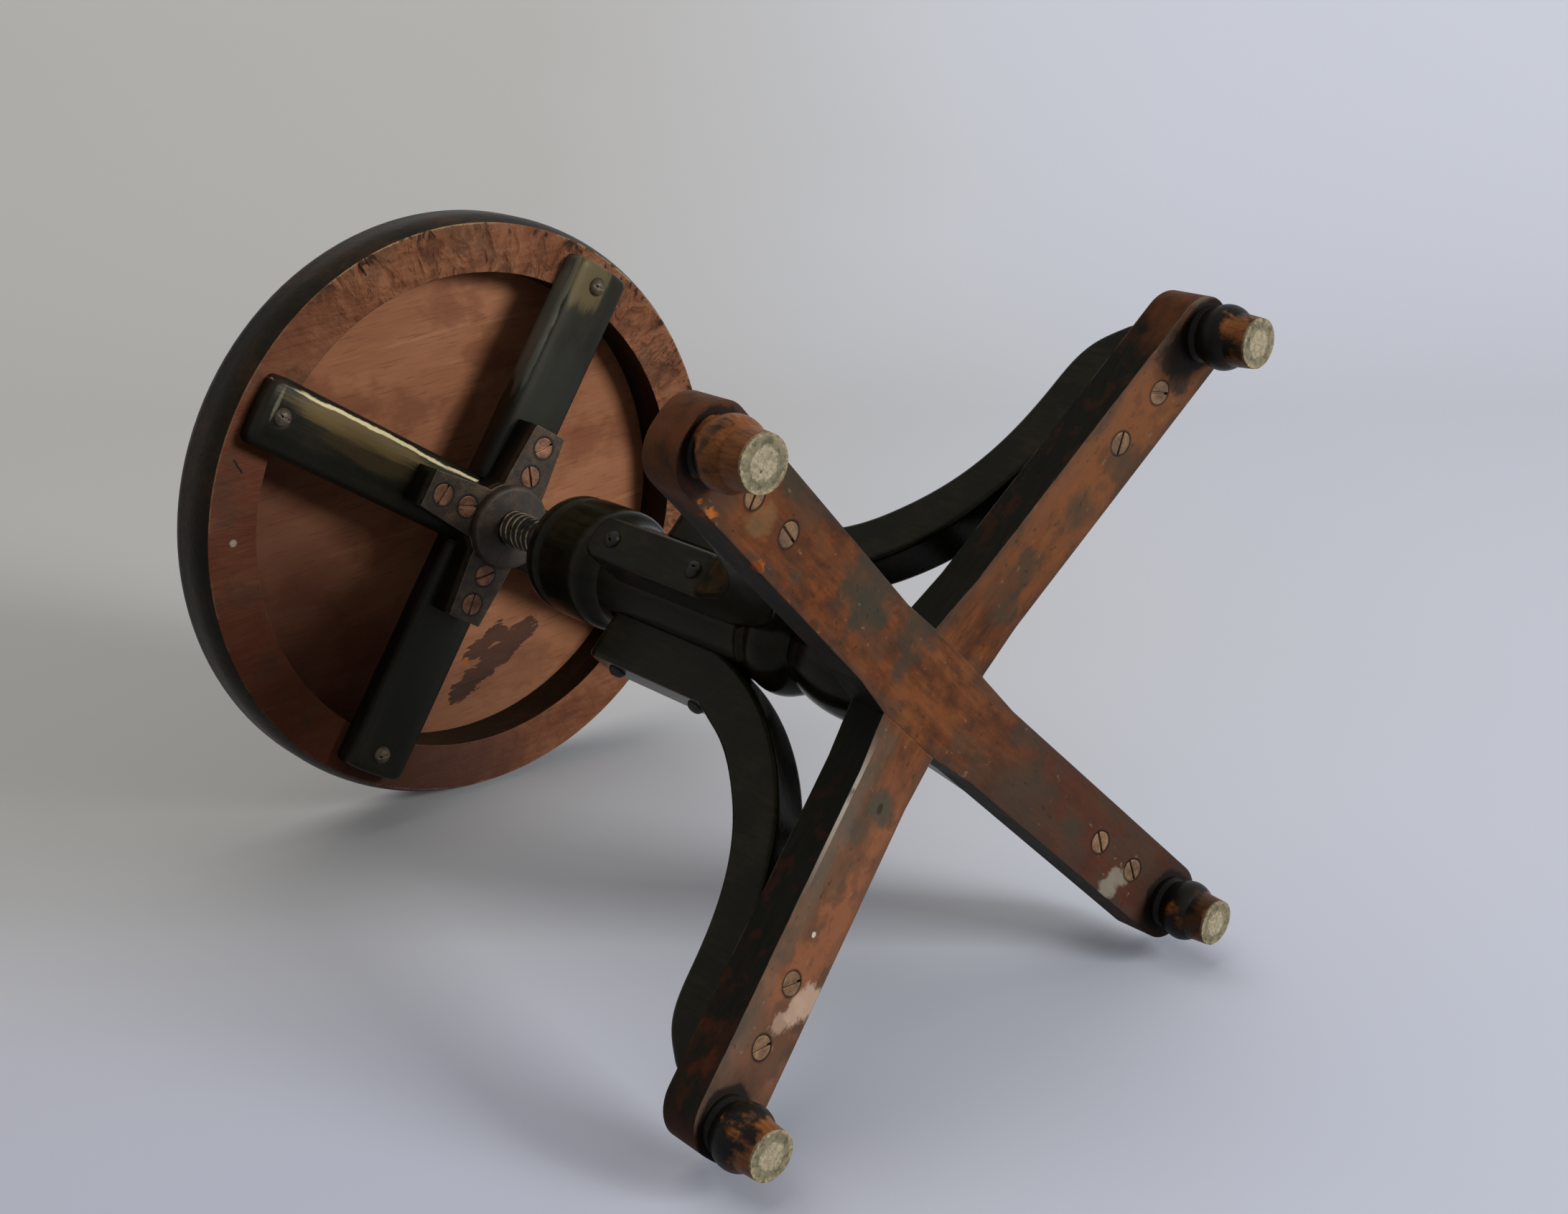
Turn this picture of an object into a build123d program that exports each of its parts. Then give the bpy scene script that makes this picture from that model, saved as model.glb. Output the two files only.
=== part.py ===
"""Revolving piano stool.

A round wooden seat on an iron screw, in a turned column with four bent legs on a
cross-shaped base. All sizes in millimetres. +Z is up, the origin is on the floor,
on the column's axis, and the arms of the base lie along X and Y.
"""

import os
from math import cos, radians, sin, tan

from build123d import *

# ---------------------------------------------------------------- driving dimensions

# Base: two arched bars, half lapped where they cross
bar_reach = 226.0          # axis to the end of each arm
bar_width = 40.0
bar_thickness = 21.0
bar_droop = 8.0            # slope of each arm, degrees
crossing_width = 45.0      # the bars are wider where they cross
crossing_flare = 50.0      # distance from the axis over which they narrow again
crossing_level = 24.0      # the top and underside are level up to here
crossing_height = 56.5     # floor to the underside of the crossing
bar_end_round = 17.0       # rounding of the arm's end, seen from above

# Feet: turned, standing upright under the ends of the arms
foot_from_end = 15.5       # end of the arm to the centre of its foot
foot_tip_radius = 11.7
foot_waist_radius = 12.5
foot_bead_radius = 15.4
foot_bead_bottom = 11.0    # floor to the lower end of the bead
foot_bead_top = 24.0
foot_shoulder_radius = 13.6
foot_neck_radius = 12.3
foot_neck_height = 27.0
foot_flare_height = 29.5
foot_tenon_radius = 8.0
foot_tenon_length = 14.0

# Legs: flat outside, bent out from the column to the ends of the arms
leg_width = 24.0
leg_seat = 24.5            # axis to the flat on the column that carries the leg
leg_depth = 26.0
leg_top = 269.0
leg_bend_outer = 181.0     # where the outer edge starts to bend
leg_bend_inner = 174.0     # where the inner edge leaves the column
leg_heel_from_end = 88.0   # end of the arm to where the leg first meets it
leg_toe_from_end = 22.0    # end of the arm to the leg's outer end
# share of the way out from the upright part, and height above the floor
leg_outer_edge = [(0.031, 165.0), (0.073, 151.0), (0.179, 128.5), (0.342, 106.5),
                  (0.524, 93.0), (0.713, 86.0), (0.824, 82.5), (0.909, 75.5), (0.967, 65.5)]
leg_inner_edge = [(0.047, 157.5), (0.110, 142.0), (0.225, 121.5), (0.366, 103.5),
                  (0.524, 89.0), (0.718, 77.0)]
leg_toe_steep = 80.0       # slope of the outer edge where it meets the arm, degrees
leg_end_round = 9.0
leg_edge_round = 2.5

# Column: one turned post with a vase, a bead, a ring, a shaft and a head
column_tenon_radius = 14.0
column_tenon_length = 15.0
vase_foot_radius = 24.0
vase_radius = 26.6
vase_height = 112.0
neck_radius = 20.5
neck_height = 135.5
cup_middle = (24.2, 139.5)
bead_foot_radius = 27.0
bead_radius = 28.6
bead_bottom = 145.0
bead_top = 160.0
groove_radius = 26.2
groove_height = 162.0
ring_radius = 27.8
ring_height = 165.0
ring_top = 168.0
shaft_radius = 27.0
flat_bottom = 161.5        # the flats for the legs
flat_top = 271.0
cove_bottom = 279.0
cove_middle = (28.3, 284.5)
head_foot = (31.2, 288.0)
head_radius = 33.4
head_shoulder = 297.0
head_band_top = 322.0
head_groove_radius = 31.2
head_groove_height = 326.0
head_bead_radius = 32.6
head_bead_height = 334.0
head_top_radius = 29.5
head_top = 340.0
column_bore_radius = 12.5
column_bore_floor = 180.0

# Iron screw and its nut
spindle_radius = 10.5
spindle_length = 160.0     # below the plate
spindle_tail_radius = 8.0
spindle_tail_length = 7.0  # riveted over above the plate
spindle_end_chamfer = 1.5
nut_body_radius = 16.0
nut_height = 34.0
nut_flange_radius = 24.0
nut_flange_thickness = 3.0
nut_screw_circle = 20.0

# Under the seat
plate_face = 402.1         # floor to the lower face of the iron plate
plate_thickness = 4.0
plate_reach = 60.0
plate_end_width = 22.0
plate_root_width = 29.0
plate_hub_radius = 25.5
collar_radius = 24.5
collar_height = 5.6
collar_round = 2.4
block_thickness = 14.2     # wooden block of the same outline above the plate
cross_width = 40.0
cross_thickness = 13.0
cross_from_rim = 11.0      # the arms end on a circle this far inside the seat's rim
cross_corner_round = 5.0
cross_edge_round = 3.0
cross_turn = 168.5         # from the base's long bar to the cross's long bar, degrees

# Seat
seat_rim_radius = 174.0
seat_under_inset = 4.0     # the rim draws in by this towards the underside
ring_width = 32.0
seat_recess = 25.7         # from the underside of the ring up to the panel
seat_thickness = 37.0
seat_rim_height = 16.0     # from the underside up to the widest part of the rim
seat_swell_inset = 1.0     # how far the rim has drawn in at the height below
seat_swell_height = 7.0
seat_top_round = 11.0
panel_ledge = 10.0
panel_thickness = 9.0
panel_dish = 3.0

# Screws: head radius, shank radius, length, where they go and how far each driver
# slot is turned, degrees, in the order of the arms
base_screw = (5.5, 2.6, 34.0)
base_screws_from_end = (81.0, 51.0)
base_screw_slots = [(84.5, 18.0), (122.8, 32.9), (55.0, 58.9), (38.2, 41.8)]
leg_screw = (4.8, 2.4, 36.0)
leg_screw_heights = (186.0, 251.0)
leg_screw_slots = [(25.0, 140.0), (70.0, 10.0), (110.0, 52.0), (160.0, 95.0)]
flange_screw = (6.1, 2.8, 28.0)
flange_screw_places = (31.3, 49.6)
flange_screw_slots = [(64.0, 105.0), (130.0, 8.6), (21.9, 82.2), (37.9, 136.9)]
cross_screw = (5.3, 2.6, 28.0)
cross_screw_from_end = 12.7
cross_screw_slots = [(40.0,), (120.0,), (173.3,), (93.4,)]
nut_screw = (3.2, 1.6, 16.0)
nut_screw_angles = (60.0, 180.0, 300.0)
nut_screw_slots = [(20.0,), (75.0,), (130.0,)]
head_edge = 0.4            # straight edge of a countersunk head
round_head_height = 3.4
round_head_middle = (0.72, 0.7)  # shares of the head's radius and height
slot_width = 1.3
slot_depth = 1.2
tip_length = 3.0           # in shank radii

# Clearances
glue_gap = 0.1             # radial, round tenons and screw holes
running_gap = 0.05         # radial, the screw in its nut and in the collar
face_gap = 0.1             # between the plate and the collar, and under tenons

# ---------------------------------------------------------------- values worked out

slope = tan(radians(bar_droop))
crossing_top = crossing_height + bar_thickness
lap_height = crossing_height + bar_thickness / 2
foot_place = bar_reach - foot_from_end
leg_heel = bar_reach - leg_heel_from_end
leg_toe = bar_reach - leg_toe_from_end
base_screw_places = [bar_reach - inset for inset in base_screws_from_end]
block_face = plate_face + plate_thickness
cross_face = block_face + block_thickness
ring_face = cross_face + cross_thickness
seat_under_radius = seat_rim_radius - seat_under_inset
seat_opening_radius = seat_rim_radius - ring_width
cross_reach = seat_rim_radius - cross_from_rim
cross_screw_places = [cross_reach - cross_screw_from_end]
panel_face = ring_face + seat_recess
panel_top = panel_face + panel_thickness
panel_edge = seat_opening_radius + panel_ledge
seat_top = ring_face + seat_thickness
leg_outer = leg_seat + leg_depth
spindle_bottom = plate_face - spindle_length
arm_angles = [0, 90, 180, 270]
cross_angles = [cross_turn + turn for turn in arm_angles]


def arm_underside(reach):
    """Height of the underside of an arm at a distance from the axis."""
    return crossing_height - max(reach - crossing_level, 0.0) * slope


def arm_top(reach):
    """Height of the top of an arm at a distance from the axis."""
    return arm_underside(reach) + bar_thickness


foot_top = arm_underside(foot_place)
foot_tenon_top = foot_top + foot_tenon_length

# ---------------------------------------------------------------- screws


def wood_screw(head, shank, length, domed=False):
    """A slotted wood screw, its bearing plane at the origin, pointing along -Z."""
    with BuildPart() as screw:
        with BuildSketch(Plane.XZ):
            with BuildLine():
                if domed:
                    crown = round_head_height
                    middle = (round_head_middle[0] * head, round_head_middle[1] * crown)
                    ThreePointArc((0, crown), middle, (head, 0))
                    under = [(head, 0), (shank, 0)]
                else:
                    crown = 0
                    under = [(0, 0), (head, 0), (head, -head_edge), (shank, shank - head - head_edge)]
                Polyline(*under, (shank, tip_length * shank - length), (0, -length), (0, crown))
            make_face()
        revolve(axis=Axis.Z)
        with BuildSketch(Plane.XY.offset(crown)):
            Rectangle(2 * head + slot_width, slot_width)
        extrude(amount=-slot_depth, mode=Mode.SUBTRACT)
    return screw.part


def screw_hole(head, shank, length, domed=False):
    """The space that a screw fills in wood, with the glue gap around it."""
    wide = shank + glue_gap
    deep = -length - glue_gap
    rim = head + glue_gap
    with BuildPart() as hole:
        with BuildSketch(Plane.XZ):
            with BuildLine():
                if domed:
                    mouth = [(0, 0), (wide, 0)]
                else:
                    mouth = [(0, 0), (rim, 0), (rim, -head_edge), (wide, wide - rim - head_edge)]
                Polyline(*mouth, (wide, deep), (0, deep), close=True)
            make_face()
        revolve(axis=Axis.Z)
    return hole.part


def radial(angle, reach, height):
    """A point at a distance from the axis, in a direction seen from above."""
    return Vector(reach * cos(radians(angle)), reach * sin(radians(angle)), height)


def screw_seats(angles, places, slots, pointing):
    """Where screws go: pointing gives the origin, a side direction and the head's."""
    seats = []
    for angle, turns in zip(angles, slots):
        for place, turn in zip(places, turns):
            origin, side, head = pointing(angle, place)
            face = Plane(origin, x_dir=side, z_dir=head).location
            seats.append(face * Location((0, 0, 0), (0, 0, turn)))
    return seats


def up_through_arm(angle, place):
    """In the underside of an arm, head down, square to the slope."""
    head = -radial(angle, sin(radians(bar_droop)), cos(radians(bar_droop)))
    return radial(angle, place, arm_underside(place)), radial(angle + 90, 1, 0), head


def into_column(angle, place):
    """On the outer face of a leg, pointing at the axis."""
    return radial(angle, leg_outer, place), Vector(0, 0, 1), radial(angle, 1, 0)


def up_through_plate(angle, place):
    """In the lower face of the iron plate."""
    return radial(angle, place, plate_face), radial(angle, 1, 0), Vector(0, 0, -1)


def up_through_cross(angle, place):
    """On the lower face of the wooden cross."""
    return radial(angle, place, cross_face), radial(angle, 1, 0), Vector(0, 0, -1)


def down_into_head(angle, place):
    """In the top face of the column's nut."""
    return radial(angle, place, head_top), radial(angle, 1, 0), Vector(0, 0, 1)


base_seats = screw_seats(arm_angles, base_screw_places, base_screw_slots, up_through_arm)
leg_seats = screw_seats(arm_angles, leg_screw_heights, leg_screw_slots, into_column)
flange_seats = screw_seats(cross_angles, flange_screw_places, flange_screw_slots, up_through_plate)
cross_seats = screw_seats(cross_angles, cross_screw_places, cross_screw_slots, up_through_cross)
nut_seats = screw_seats(nut_screw_angles, [nut_screw_circle], nut_screw_slots, down_into_head)

base_holes = [screw_hole(*base_screw).moved(seat) for seat in base_seats]
leg_holes = [screw_hole(*leg_screw, domed=True).moved(seat) for seat in leg_seats]
flange_holes = [screw_hole(*flange_screw).moved(seat) for seat in flange_seats]
cross_holes = [screw_hole(*cross_screw, domed=True).moved(seat) for seat in cross_seats]
nut_holes = [screw_hole(*nut_screw).moved(seat) for seat in nut_seats]

os.makedirs("parts", exist_ok=True)

# ---------------------------------------------------------------- base bars


def bar_outline():
    """A bar seen from above, wider where the bars cross."""
    half = bar_width / 2
    wide = crossing_width / 2
    with BuildSketch() as outline:
        with BuildLine():
            Polyline((bar_reach, half), (crossing_flare, half), (wide, wide), (-wide, wide),
                     (-crossing_flare, half), (-bar_reach, half), (-bar_reach, -half),
                     (-crossing_flare, -half), (-wide, -wide), (wide, -wide),
                     (crossing_flare, -half), (bar_reach, -half), close=True)
        make_face()
        ends = outline.vertices().group_by(Axis.X)
        fillet(ends[0] + ends[-1], bar_end_round)
    return outline.sketch


def bar_side():
    """A bar seen from the side: level at the crossing, then sloping down to both ends."""
    low = arm_underside(bar_reach)
    high = arm_top(bar_reach)
    with BuildSketch() as side:
        with BuildLine():
            Polyline((-bar_reach, low), (-crossing_level, crossing_height),
                     (crossing_level, crossing_height), (bar_reach, low), (bar_reach, high),
                     (crossing_level, crossing_top), (-crossing_level, crossing_top),
                     (-bar_reach, high), close=True)
        make_face()
    return side.sketch


def base_bar(turn, lap_side):
    """One arched bar with its half lap, screw holes and the sockets for two feet."""
    along = radial(turn, 1, 0)
    with BuildPart() as bar:
        with BuildSketch(Plane((0, 0, 0), x_dir=along, z_dir=radial(turn - 90, 1, 0))):
            add(bar_side())
        extrude(amount=crossing_width, both=True)
        with BuildSketch(Plane((0, 0, 0), x_dir=along, z_dir=(0, 0, 1))):
            add(bar_outline())
        extrude(amount=2 * crossing_top, mode=Mode.INTERSECT)
        with BuildSketch(Plane.XY.offset(lap_height)):
            Rectangle(crossing_width, crossing_width)
        extrude(amount=lap_side * bar_thickness, mode=Mode.SUBTRACT)
        with Locations((0, 0, crossing_top)):
            Hole(column_tenon_radius + glue_gap, column_tenon_length + face_gap)
        with BuildSketch(Plane.XY.offset(foot_tenon_top + face_gap)):
            with Locations(along * foot_place, along * -foot_place):
                Circle(foot_tenon_radius + glue_gap)
        extrude(amount=-foot_tenon_top, mode=Mode.SUBTRACT)
        for hole in base_holes:
            add(hole, mode=Mode.SUBTRACT)
    return bar.part


with BuildPart() as base_bar_long:
    add(base_bar(0, 1))
base_bar_long.part.label = "base_bar_long"
export_step(base_bar_long.part, "parts/base_bar_long.step")

with BuildPart() as base_bar_cross:
    add(base_bar(90, -1))
base_bar_cross.part.label = "base_bar_cross"
export_step(base_bar_cross.part, "parts/base_bar_cross.step")

with BuildPart() as base_screws:
    for seat in base_seats:
        add(wood_screw(*base_screw).moved(seat))
base_screws.part.label = "base_screws"
export_step(base_screws.part, "parts/base_screws.step")

# ---------------------------------------------------------------- feet


def foot_outline():
    """Half section of a foot, from the floor up into the arm."""
    with BuildSketch() as outline:
        with BuildLine():
            Polyline((foot_neck_radius, foot_neck_height), (foot_shoulder_radius, foot_flare_height),
                     (foot_shoulder_radius, crossing_height), (0, crossing_height), (0, 0),
                     (foot_tip_radius, 0), (foot_waist_radius, foot_bead_bottom))
            ThreePointArc((foot_waist_radius, foot_bead_bottom),
                          (foot_bead_radius, (foot_bead_bottom + foot_bead_top) / 2),
                          (foot_shoulder_radius, foot_bead_top))
            Line((foot_shoulder_radius, foot_bead_top), (foot_neck_radius, foot_neck_height))
        make_face()
    return outline.sketch


for number, angle in enumerate(arm_angles, start=1):
    with BuildPart() as foot:
        with BuildSketch(Plane(radial(angle, foot_place, 0), x_dir=radial(angle, 1, 0),
                               z_dir=radial(angle - 90, 1, 0))):
            add(foot_outline())
        revolve(axis=Axis(radial(angle, foot_place, 0), (0, 0, 1)))
        split(bisect_by=Plane(radial(angle, foot_place, foot_top), x_dir=radial(angle + 90, 1, 0),
                              z_dir=radial(angle, slope, 1)), keep=Keep.BOTTOM)
        with BuildSketch(Plane.XY.offset(foot_tenon_top)):
            with Locations(radial(angle, foot_place, 0)):
                Circle(foot_tenon_radius)
        extrude(amount=-foot_tenon_length)
    foot.part.label = f"foot_{number}"
    export_step(foot.part, f"parts/foot_{number}.step")

# ---------------------------------------------------------------- legs


def between(start, end, points):
    """Points given as a share of the way from start to end, and a height."""
    return [(start + share * (end - start), height) for share, height in points]


def leg_outline():
    """A leg seen from the side: distance from the axis and height."""
    outer_points = between(leg_outer, leg_toe, leg_outer_edge)
    inner_points = between(leg_seat, leg_heel, leg_inner_edge)
    with BuildSketch() as outline:
        with BuildLine():
            Polyline((leg_seat, leg_bend_inner), (leg_seat, leg_top), (leg_outer, leg_top),
                     (leg_outer, leg_bend_outer))
            Spline((leg_outer, leg_bend_outer), *outer_points, (leg_toe, arm_top(leg_toe)),
                   tangents=[(0, -1), (1, -tan(radians(leg_toe_steep)))])
            Line((leg_toe, arm_top(leg_toe)), (leg_heel, arm_top(leg_heel)))
            Spline((leg_seat, leg_bend_inner), *inner_points, (leg_heel, arm_top(leg_heel)))
        make_face()
    return outline.sketch


for number, angle in enumerate(arm_angles, start=1):
    outward = radial(angle, 1, 0)
    sideways = radial(angle - 90, 1, 0)
    with BuildPart() as leg:
        with BuildSketch(Plane((0, 0, 0), x_dir=outward, z_dir=sideways)):
            add(leg_outline())
        extrude(amount=leg_width / 2, both=True)
        top_corners = leg.faces().sort_by(Axis.Z)[-1].edges().filter_by(Axis((0, 0, 0), outward))
        fillet(top_corners, leg_end_round)
        contact = leg.faces().filter_by(Axis((0, 0, 0), outward)).sort_by(Axis((0, 0, 0), outward))[0]
        base = leg.faces().filter_by(Plane((0, 0, 0), x_dir=sideways, z_dir=radial(angle, slope, 1)))[0]
        sides = leg.faces().filter_by(Axis((0, 0, 0), sideways)).edges()
        long_edges = sides - contact.edges() - base.edges() - sides.filter_by(Axis((0, 0, 0), outward))
        fillet(long_edges, leg_edge_round)
        for hole in leg_holes + base_holes:
            add(hole, mode=Mode.SUBTRACT)
    leg.part.label = f"leg_{number}"
    export_step(leg.part, f"parts/leg_{number}.step")

with BuildPart() as leg_screws:
    for seat in leg_seats:
        add(wood_screw(*leg_screw, domed=True).moved(seat))
leg_screws.part.label = "leg_screws"
export_step(leg_screws.part, "parts/leg_screws.step")

# ---------------------------------------------------------------- column and nut

with BuildPart() as column:
    with BuildSketch(Plane.XZ):
        with BuildLine():
            tenon_end = crossing_top - column_tenon_length
            Polyline((0, column_bore_floor), (0, tenon_end), (column_tenon_radius, tenon_end),
                     (column_tenon_radius, crossing_top), (vase_foot_radius, crossing_top))
            Spline((vase_foot_radius, crossing_top), (vase_radius, vase_height),
                   (neck_radius, neck_height))
            ThreePointArc((neck_radius, neck_height), cup_middle, (bead_foot_radius, bead_bottom))
            ThreePointArc((bead_foot_radius, bead_bottom), (bead_radius, (bead_bottom + bead_top) / 2),
                          (bead_foot_radius, bead_top))
            Polyline((bead_foot_radius, bead_top), (groove_radius, groove_height),
                     (ring_radius, ring_height), (shaft_radius, ring_top), (shaft_radius, cove_bottom))
            ThreePointArc((shaft_radius, cove_bottom), cove_middle, head_foot)
            Spline(head_foot, (head_radius, head_shoulder), tangents=[(1, 1), (0, 1)])
            Polyline((head_radius, head_shoulder), (head_radius, head_band_top),
                     (head_groove_radius, head_groove_height))
            ThreePointArc((head_groove_radius, head_groove_height),
                          (head_bead_radius, head_bead_height), (head_top_radius, head_top))
            Polyline((head_top_radius, head_top), (column_bore_radius, head_top),
                     (column_bore_radius, column_bore_floor), (0, column_bore_floor))
        make_face()
    revolve(axis=Axis.Z)
    with BuildSketch(Plane.XY.offset(flat_bottom)):
        with PolarLocations(leg_seat + shaft_radius, 4):
            Rectangle(2 * shaft_radius, 2 * shaft_radius)
    extrude(amount=flat_top - flat_bottom, mode=Mode.SUBTRACT)
    with Locations((0, 0, head_top)):
        Hole(nut_flange_radius + glue_gap, nut_flange_thickness + face_gap)
        Hole(nut_body_radius + glue_gap, nut_height + face_gap)
    for hole in leg_holes + nut_holes:
        add(hole, mode=Mode.SUBTRACT)
column.part.label = "column"
export_step(column.part, "parts/column.step")

with BuildPart() as spindle_nut:
    with BuildSketch(Plane.XY.offset(head_top)):
        Circle(nut_flange_radius)
    extrude(amount=-nut_flange_thickness)
    with BuildSketch(Plane.XY.offset(head_top)):
        Circle(nut_body_radius)
    extrude(amount=-nut_height)
    with Locations((0, 0, head_top)):
        Hole(spindle_radius + running_gap)
    for hole in nut_holes:
        add(hole, mode=Mode.SUBTRACT)
spindle_nut.part.label = "spindle_nut"
export_step(spindle_nut.part, "parts/spindle_nut.step")

with BuildPart() as nut_screws:
    for seat in nut_seats:
        add(wood_screw(*nut_screw).moved(seat))
nut_screws.part.label = "nut_screws"
export_step(nut_screws.part, "parts/nut_screws.step")

# ---------------------------------------------------------------- iron screw and plate

with BuildPart() as spindle:
    with BuildSketch(Plane.XY.offset(spindle_bottom)):
        Circle(spindle_radius)
    extrude(amount=spindle_length)
    chamfer(spindle.edges().sort_by(Axis.Z)[0], spindle_end_chamfer)
    with BuildSketch(Plane.XY.offset(plate_face)):
        Circle(spindle_tail_radius)
    extrude(amount=spindle_tail_length)
spindle.part.label = "spindle"
export_step(spindle.part, "parts/spindle.step")

with BuildPart() as hub_collar:
    with BuildSketch(Plane.XY.offset(plate_face - face_gap)):
        Circle(collar_radius)
    extrude(amount=-collar_height)
    fillet(hub_collar.edges().sort_by(Axis.Z)[0], collar_round)
    with Locations((0, 0, plate_face)):
        Hole(spindle_radius + running_gap)
hub_collar.part.label = "hub_collar"
export_step(hub_collar.part, "parts/hub_collar.step")


def plate_outline():
    """The four-armed plate: tapered arms around a round hub."""
    end = plate_end_width / 2
    root = plate_root_width / 2
    corners = [(0, root), (0, -root), (plate_hub_radius, -root), (plate_reach, -end),
               (plate_reach, end), (plate_hub_radius, root)]
    with BuildSketch() as outline:
        Circle(plate_hub_radius)
        with Locations(*[Location((0, 0, 0), (0, 0, angle)) for angle in cross_angles]):
            Polygon(*corners, align=None)
    return outline.sketch


with BuildPart() as flange_plate:
    with BuildSketch(Plane.XY.offset(plate_face)):
        add(plate_outline())
    extrude(amount=plate_thickness)
    with Locations((0, 0, block_face)):
        Hole(spindle_tail_radius + glue_gap)
    for hole in flange_holes:
        add(hole, mode=Mode.SUBTRACT)
flange_plate.part.label = "flange_plate"
export_step(flange_plate.part, "parts/flange_plate.step")

with BuildPart() as plate_block:
    with BuildSketch(Plane.XY.offset(block_face)):
        add(plate_outline())
    extrude(amount=block_thickness)
    with Locations((0, 0, block_face)):
        Hole(spindle_tail_radius + glue_gap, spindle_tail_length - plate_thickness + face_gap)
    for hole in flange_holes:
        add(hole, mode=Mode.SUBTRACT)
plate_block.part.label = "plate_block"
export_step(plate_block.part, "parts/plate_block.step")

with BuildPart() as flange_screws:
    for seat in flange_seats:
        add(wood_screw(*flange_screw).moved(seat))
flange_screws.part.label = "flange_screws"
export_step(flange_screws.part, "parts/flange_screws.step")

# ---------------------------------------------------------------- wooden cross


def seat_cross_bar(turn, lap_side):
    """One bar of the wooden cross, with its half lap and screw holes."""
    with BuildPart() as bar:
        with BuildSketch(Plane.XY.offset(cross_face)):
            Circle(cross_reach)
            Rectangle(2 * cross_reach, cross_width, rotation=turn, mode=Mode.INTERSECT)
        extrude(amount=cross_thickness)
        fillet(bar.edges().filter_by(Axis.Z), cross_corner_round)
        fillet(bar.faces().sort_by(Axis.Z)[0].edges(), cross_edge_round)
        with BuildSketch(Plane.XY.offset(cross_face + cross_thickness / 2)):
            Rectangle(cross_width, cross_width, rotation=turn)
        extrude(amount=lap_side * cross_thickness, mode=Mode.SUBTRACT)
        for hole in flange_holes + cross_holes:
            add(hole, mode=Mode.SUBTRACT)
    return bar.part


with BuildPart() as seat_cross_long:
    add(seat_cross_bar(cross_turn, 1))
seat_cross_long.part.label = "seat_cross_long"
export_step(seat_cross_long.part, "parts/seat_cross_long.step")

with BuildPart() as seat_cross_short:
    add(seat_cross_bar(cross_turn + 90, -1))
seat_cross_short.part.label = "seat_cross_short"
export_step(seat_cross_short.part, "parts/seat_cross_short.step")

with BuildPart() as cross_screws:
    for seat in cross_seats:
        add(wood_screw(*cross_screw, domed=True).moved(seat))
cross_screws.part.label = "cross_screws"
export_step(cross_screws.part, "parts/cross_screws.step")

# ---------------------------------------------------------------- seat

top_shoulder = seat_rim_radius - seat_top_round
swell_radius = seat_rim_radius - seat_swell_inset

with BuildPart() as seat_ring:
    with BuildSketch(Plane.XZ):
        with BuildLine():
            Polyline((top_shoulder, seat_top), (panel_edge, seat_top), (panel_edge, panel_face),
                     (seat_opening_radius, panel_face), (seat_opening_radius, ring_face),
                     (seat_under_radius, ring_face))
            ThreePointArc((seat_under_radius, ring_face), (swell_radius, ring_face + seat_swell_height),
                          (seat_rim_radius, ring_face + seat_rim_height))
            Line((seat_rim_radius, ring_face + seat_rim_height),
                 (seat_rim_radius, seat_top - seat_top_round))
            JernArc((seat_rim_radius, seat_top - seat_top_round), (0, 1), seat_top_round, 90)
        make_face()
    revolve(axis=Axis.Z)
    for hole in cross_holes:
        add(hole, mode=Mode.SUBTRACT)
seat_ring.part.label = "seat_ring"
export_step(seat_ring.part, "parts/seat_ring.step")

with BuildPart() as seat_panel:
    with BuildSketch(Plane.XZ):
        with BuildLine():
            edge = panel_edge - glue_gap
            middle = panel_top - panel_dish
            Polyline((edge, panel_top), (edge, panel_face), (0, panel_face), (0, middle))
            ThreePointArc((0, middle), (edge / 2, middle + panel_dish / 4), (edge, panel_top))
        make_face()
    revolve(axis=Axis.Z)
seat_panel.part.label = "seat_panel"
export_step(seat_panel.part, "parts/seat_panel.step")
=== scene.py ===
# %% [markdown]
# # A revolving piano stool
#
# The stool stands on four turned feet under a cross of two bars. Bent legs
# climb from the bars to a turned column, and an iron screw rises out of the
# column to a round seat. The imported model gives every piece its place, so this
# lesson only adds what a plain model lacks: the thread of the screw, and the
# stained, worn and polished surfaces.

# %% Load the fixed frame
import math
import bpy
from mathutils import Matrix, Vector


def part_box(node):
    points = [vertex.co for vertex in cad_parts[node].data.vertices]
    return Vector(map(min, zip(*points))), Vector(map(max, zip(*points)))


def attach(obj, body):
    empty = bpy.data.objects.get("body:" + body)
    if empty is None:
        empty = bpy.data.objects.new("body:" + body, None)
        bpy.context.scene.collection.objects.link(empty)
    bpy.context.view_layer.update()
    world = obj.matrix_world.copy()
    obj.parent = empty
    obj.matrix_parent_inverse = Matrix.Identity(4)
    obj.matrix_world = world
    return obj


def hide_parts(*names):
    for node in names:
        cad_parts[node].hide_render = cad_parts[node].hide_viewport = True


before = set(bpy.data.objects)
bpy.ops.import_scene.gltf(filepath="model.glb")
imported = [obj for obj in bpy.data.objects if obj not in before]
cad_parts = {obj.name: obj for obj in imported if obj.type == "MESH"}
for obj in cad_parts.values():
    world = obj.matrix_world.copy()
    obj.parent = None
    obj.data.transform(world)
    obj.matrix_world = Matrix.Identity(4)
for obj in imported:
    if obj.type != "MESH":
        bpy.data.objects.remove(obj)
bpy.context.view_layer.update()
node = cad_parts

# %% [markdown]
# ## The camera
#
# The stool was photographed lying on its side, with the camera low in front of
# its feet. A camera can be aimed by hand, but then it is only roughly right.
# Here its place and its turn were fitted to the pieces beforehand. The rows
# below are the picture's right, its down and its depth, as directions of the
# upright stool, and a matrix made of them turns the camera in one go.

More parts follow.
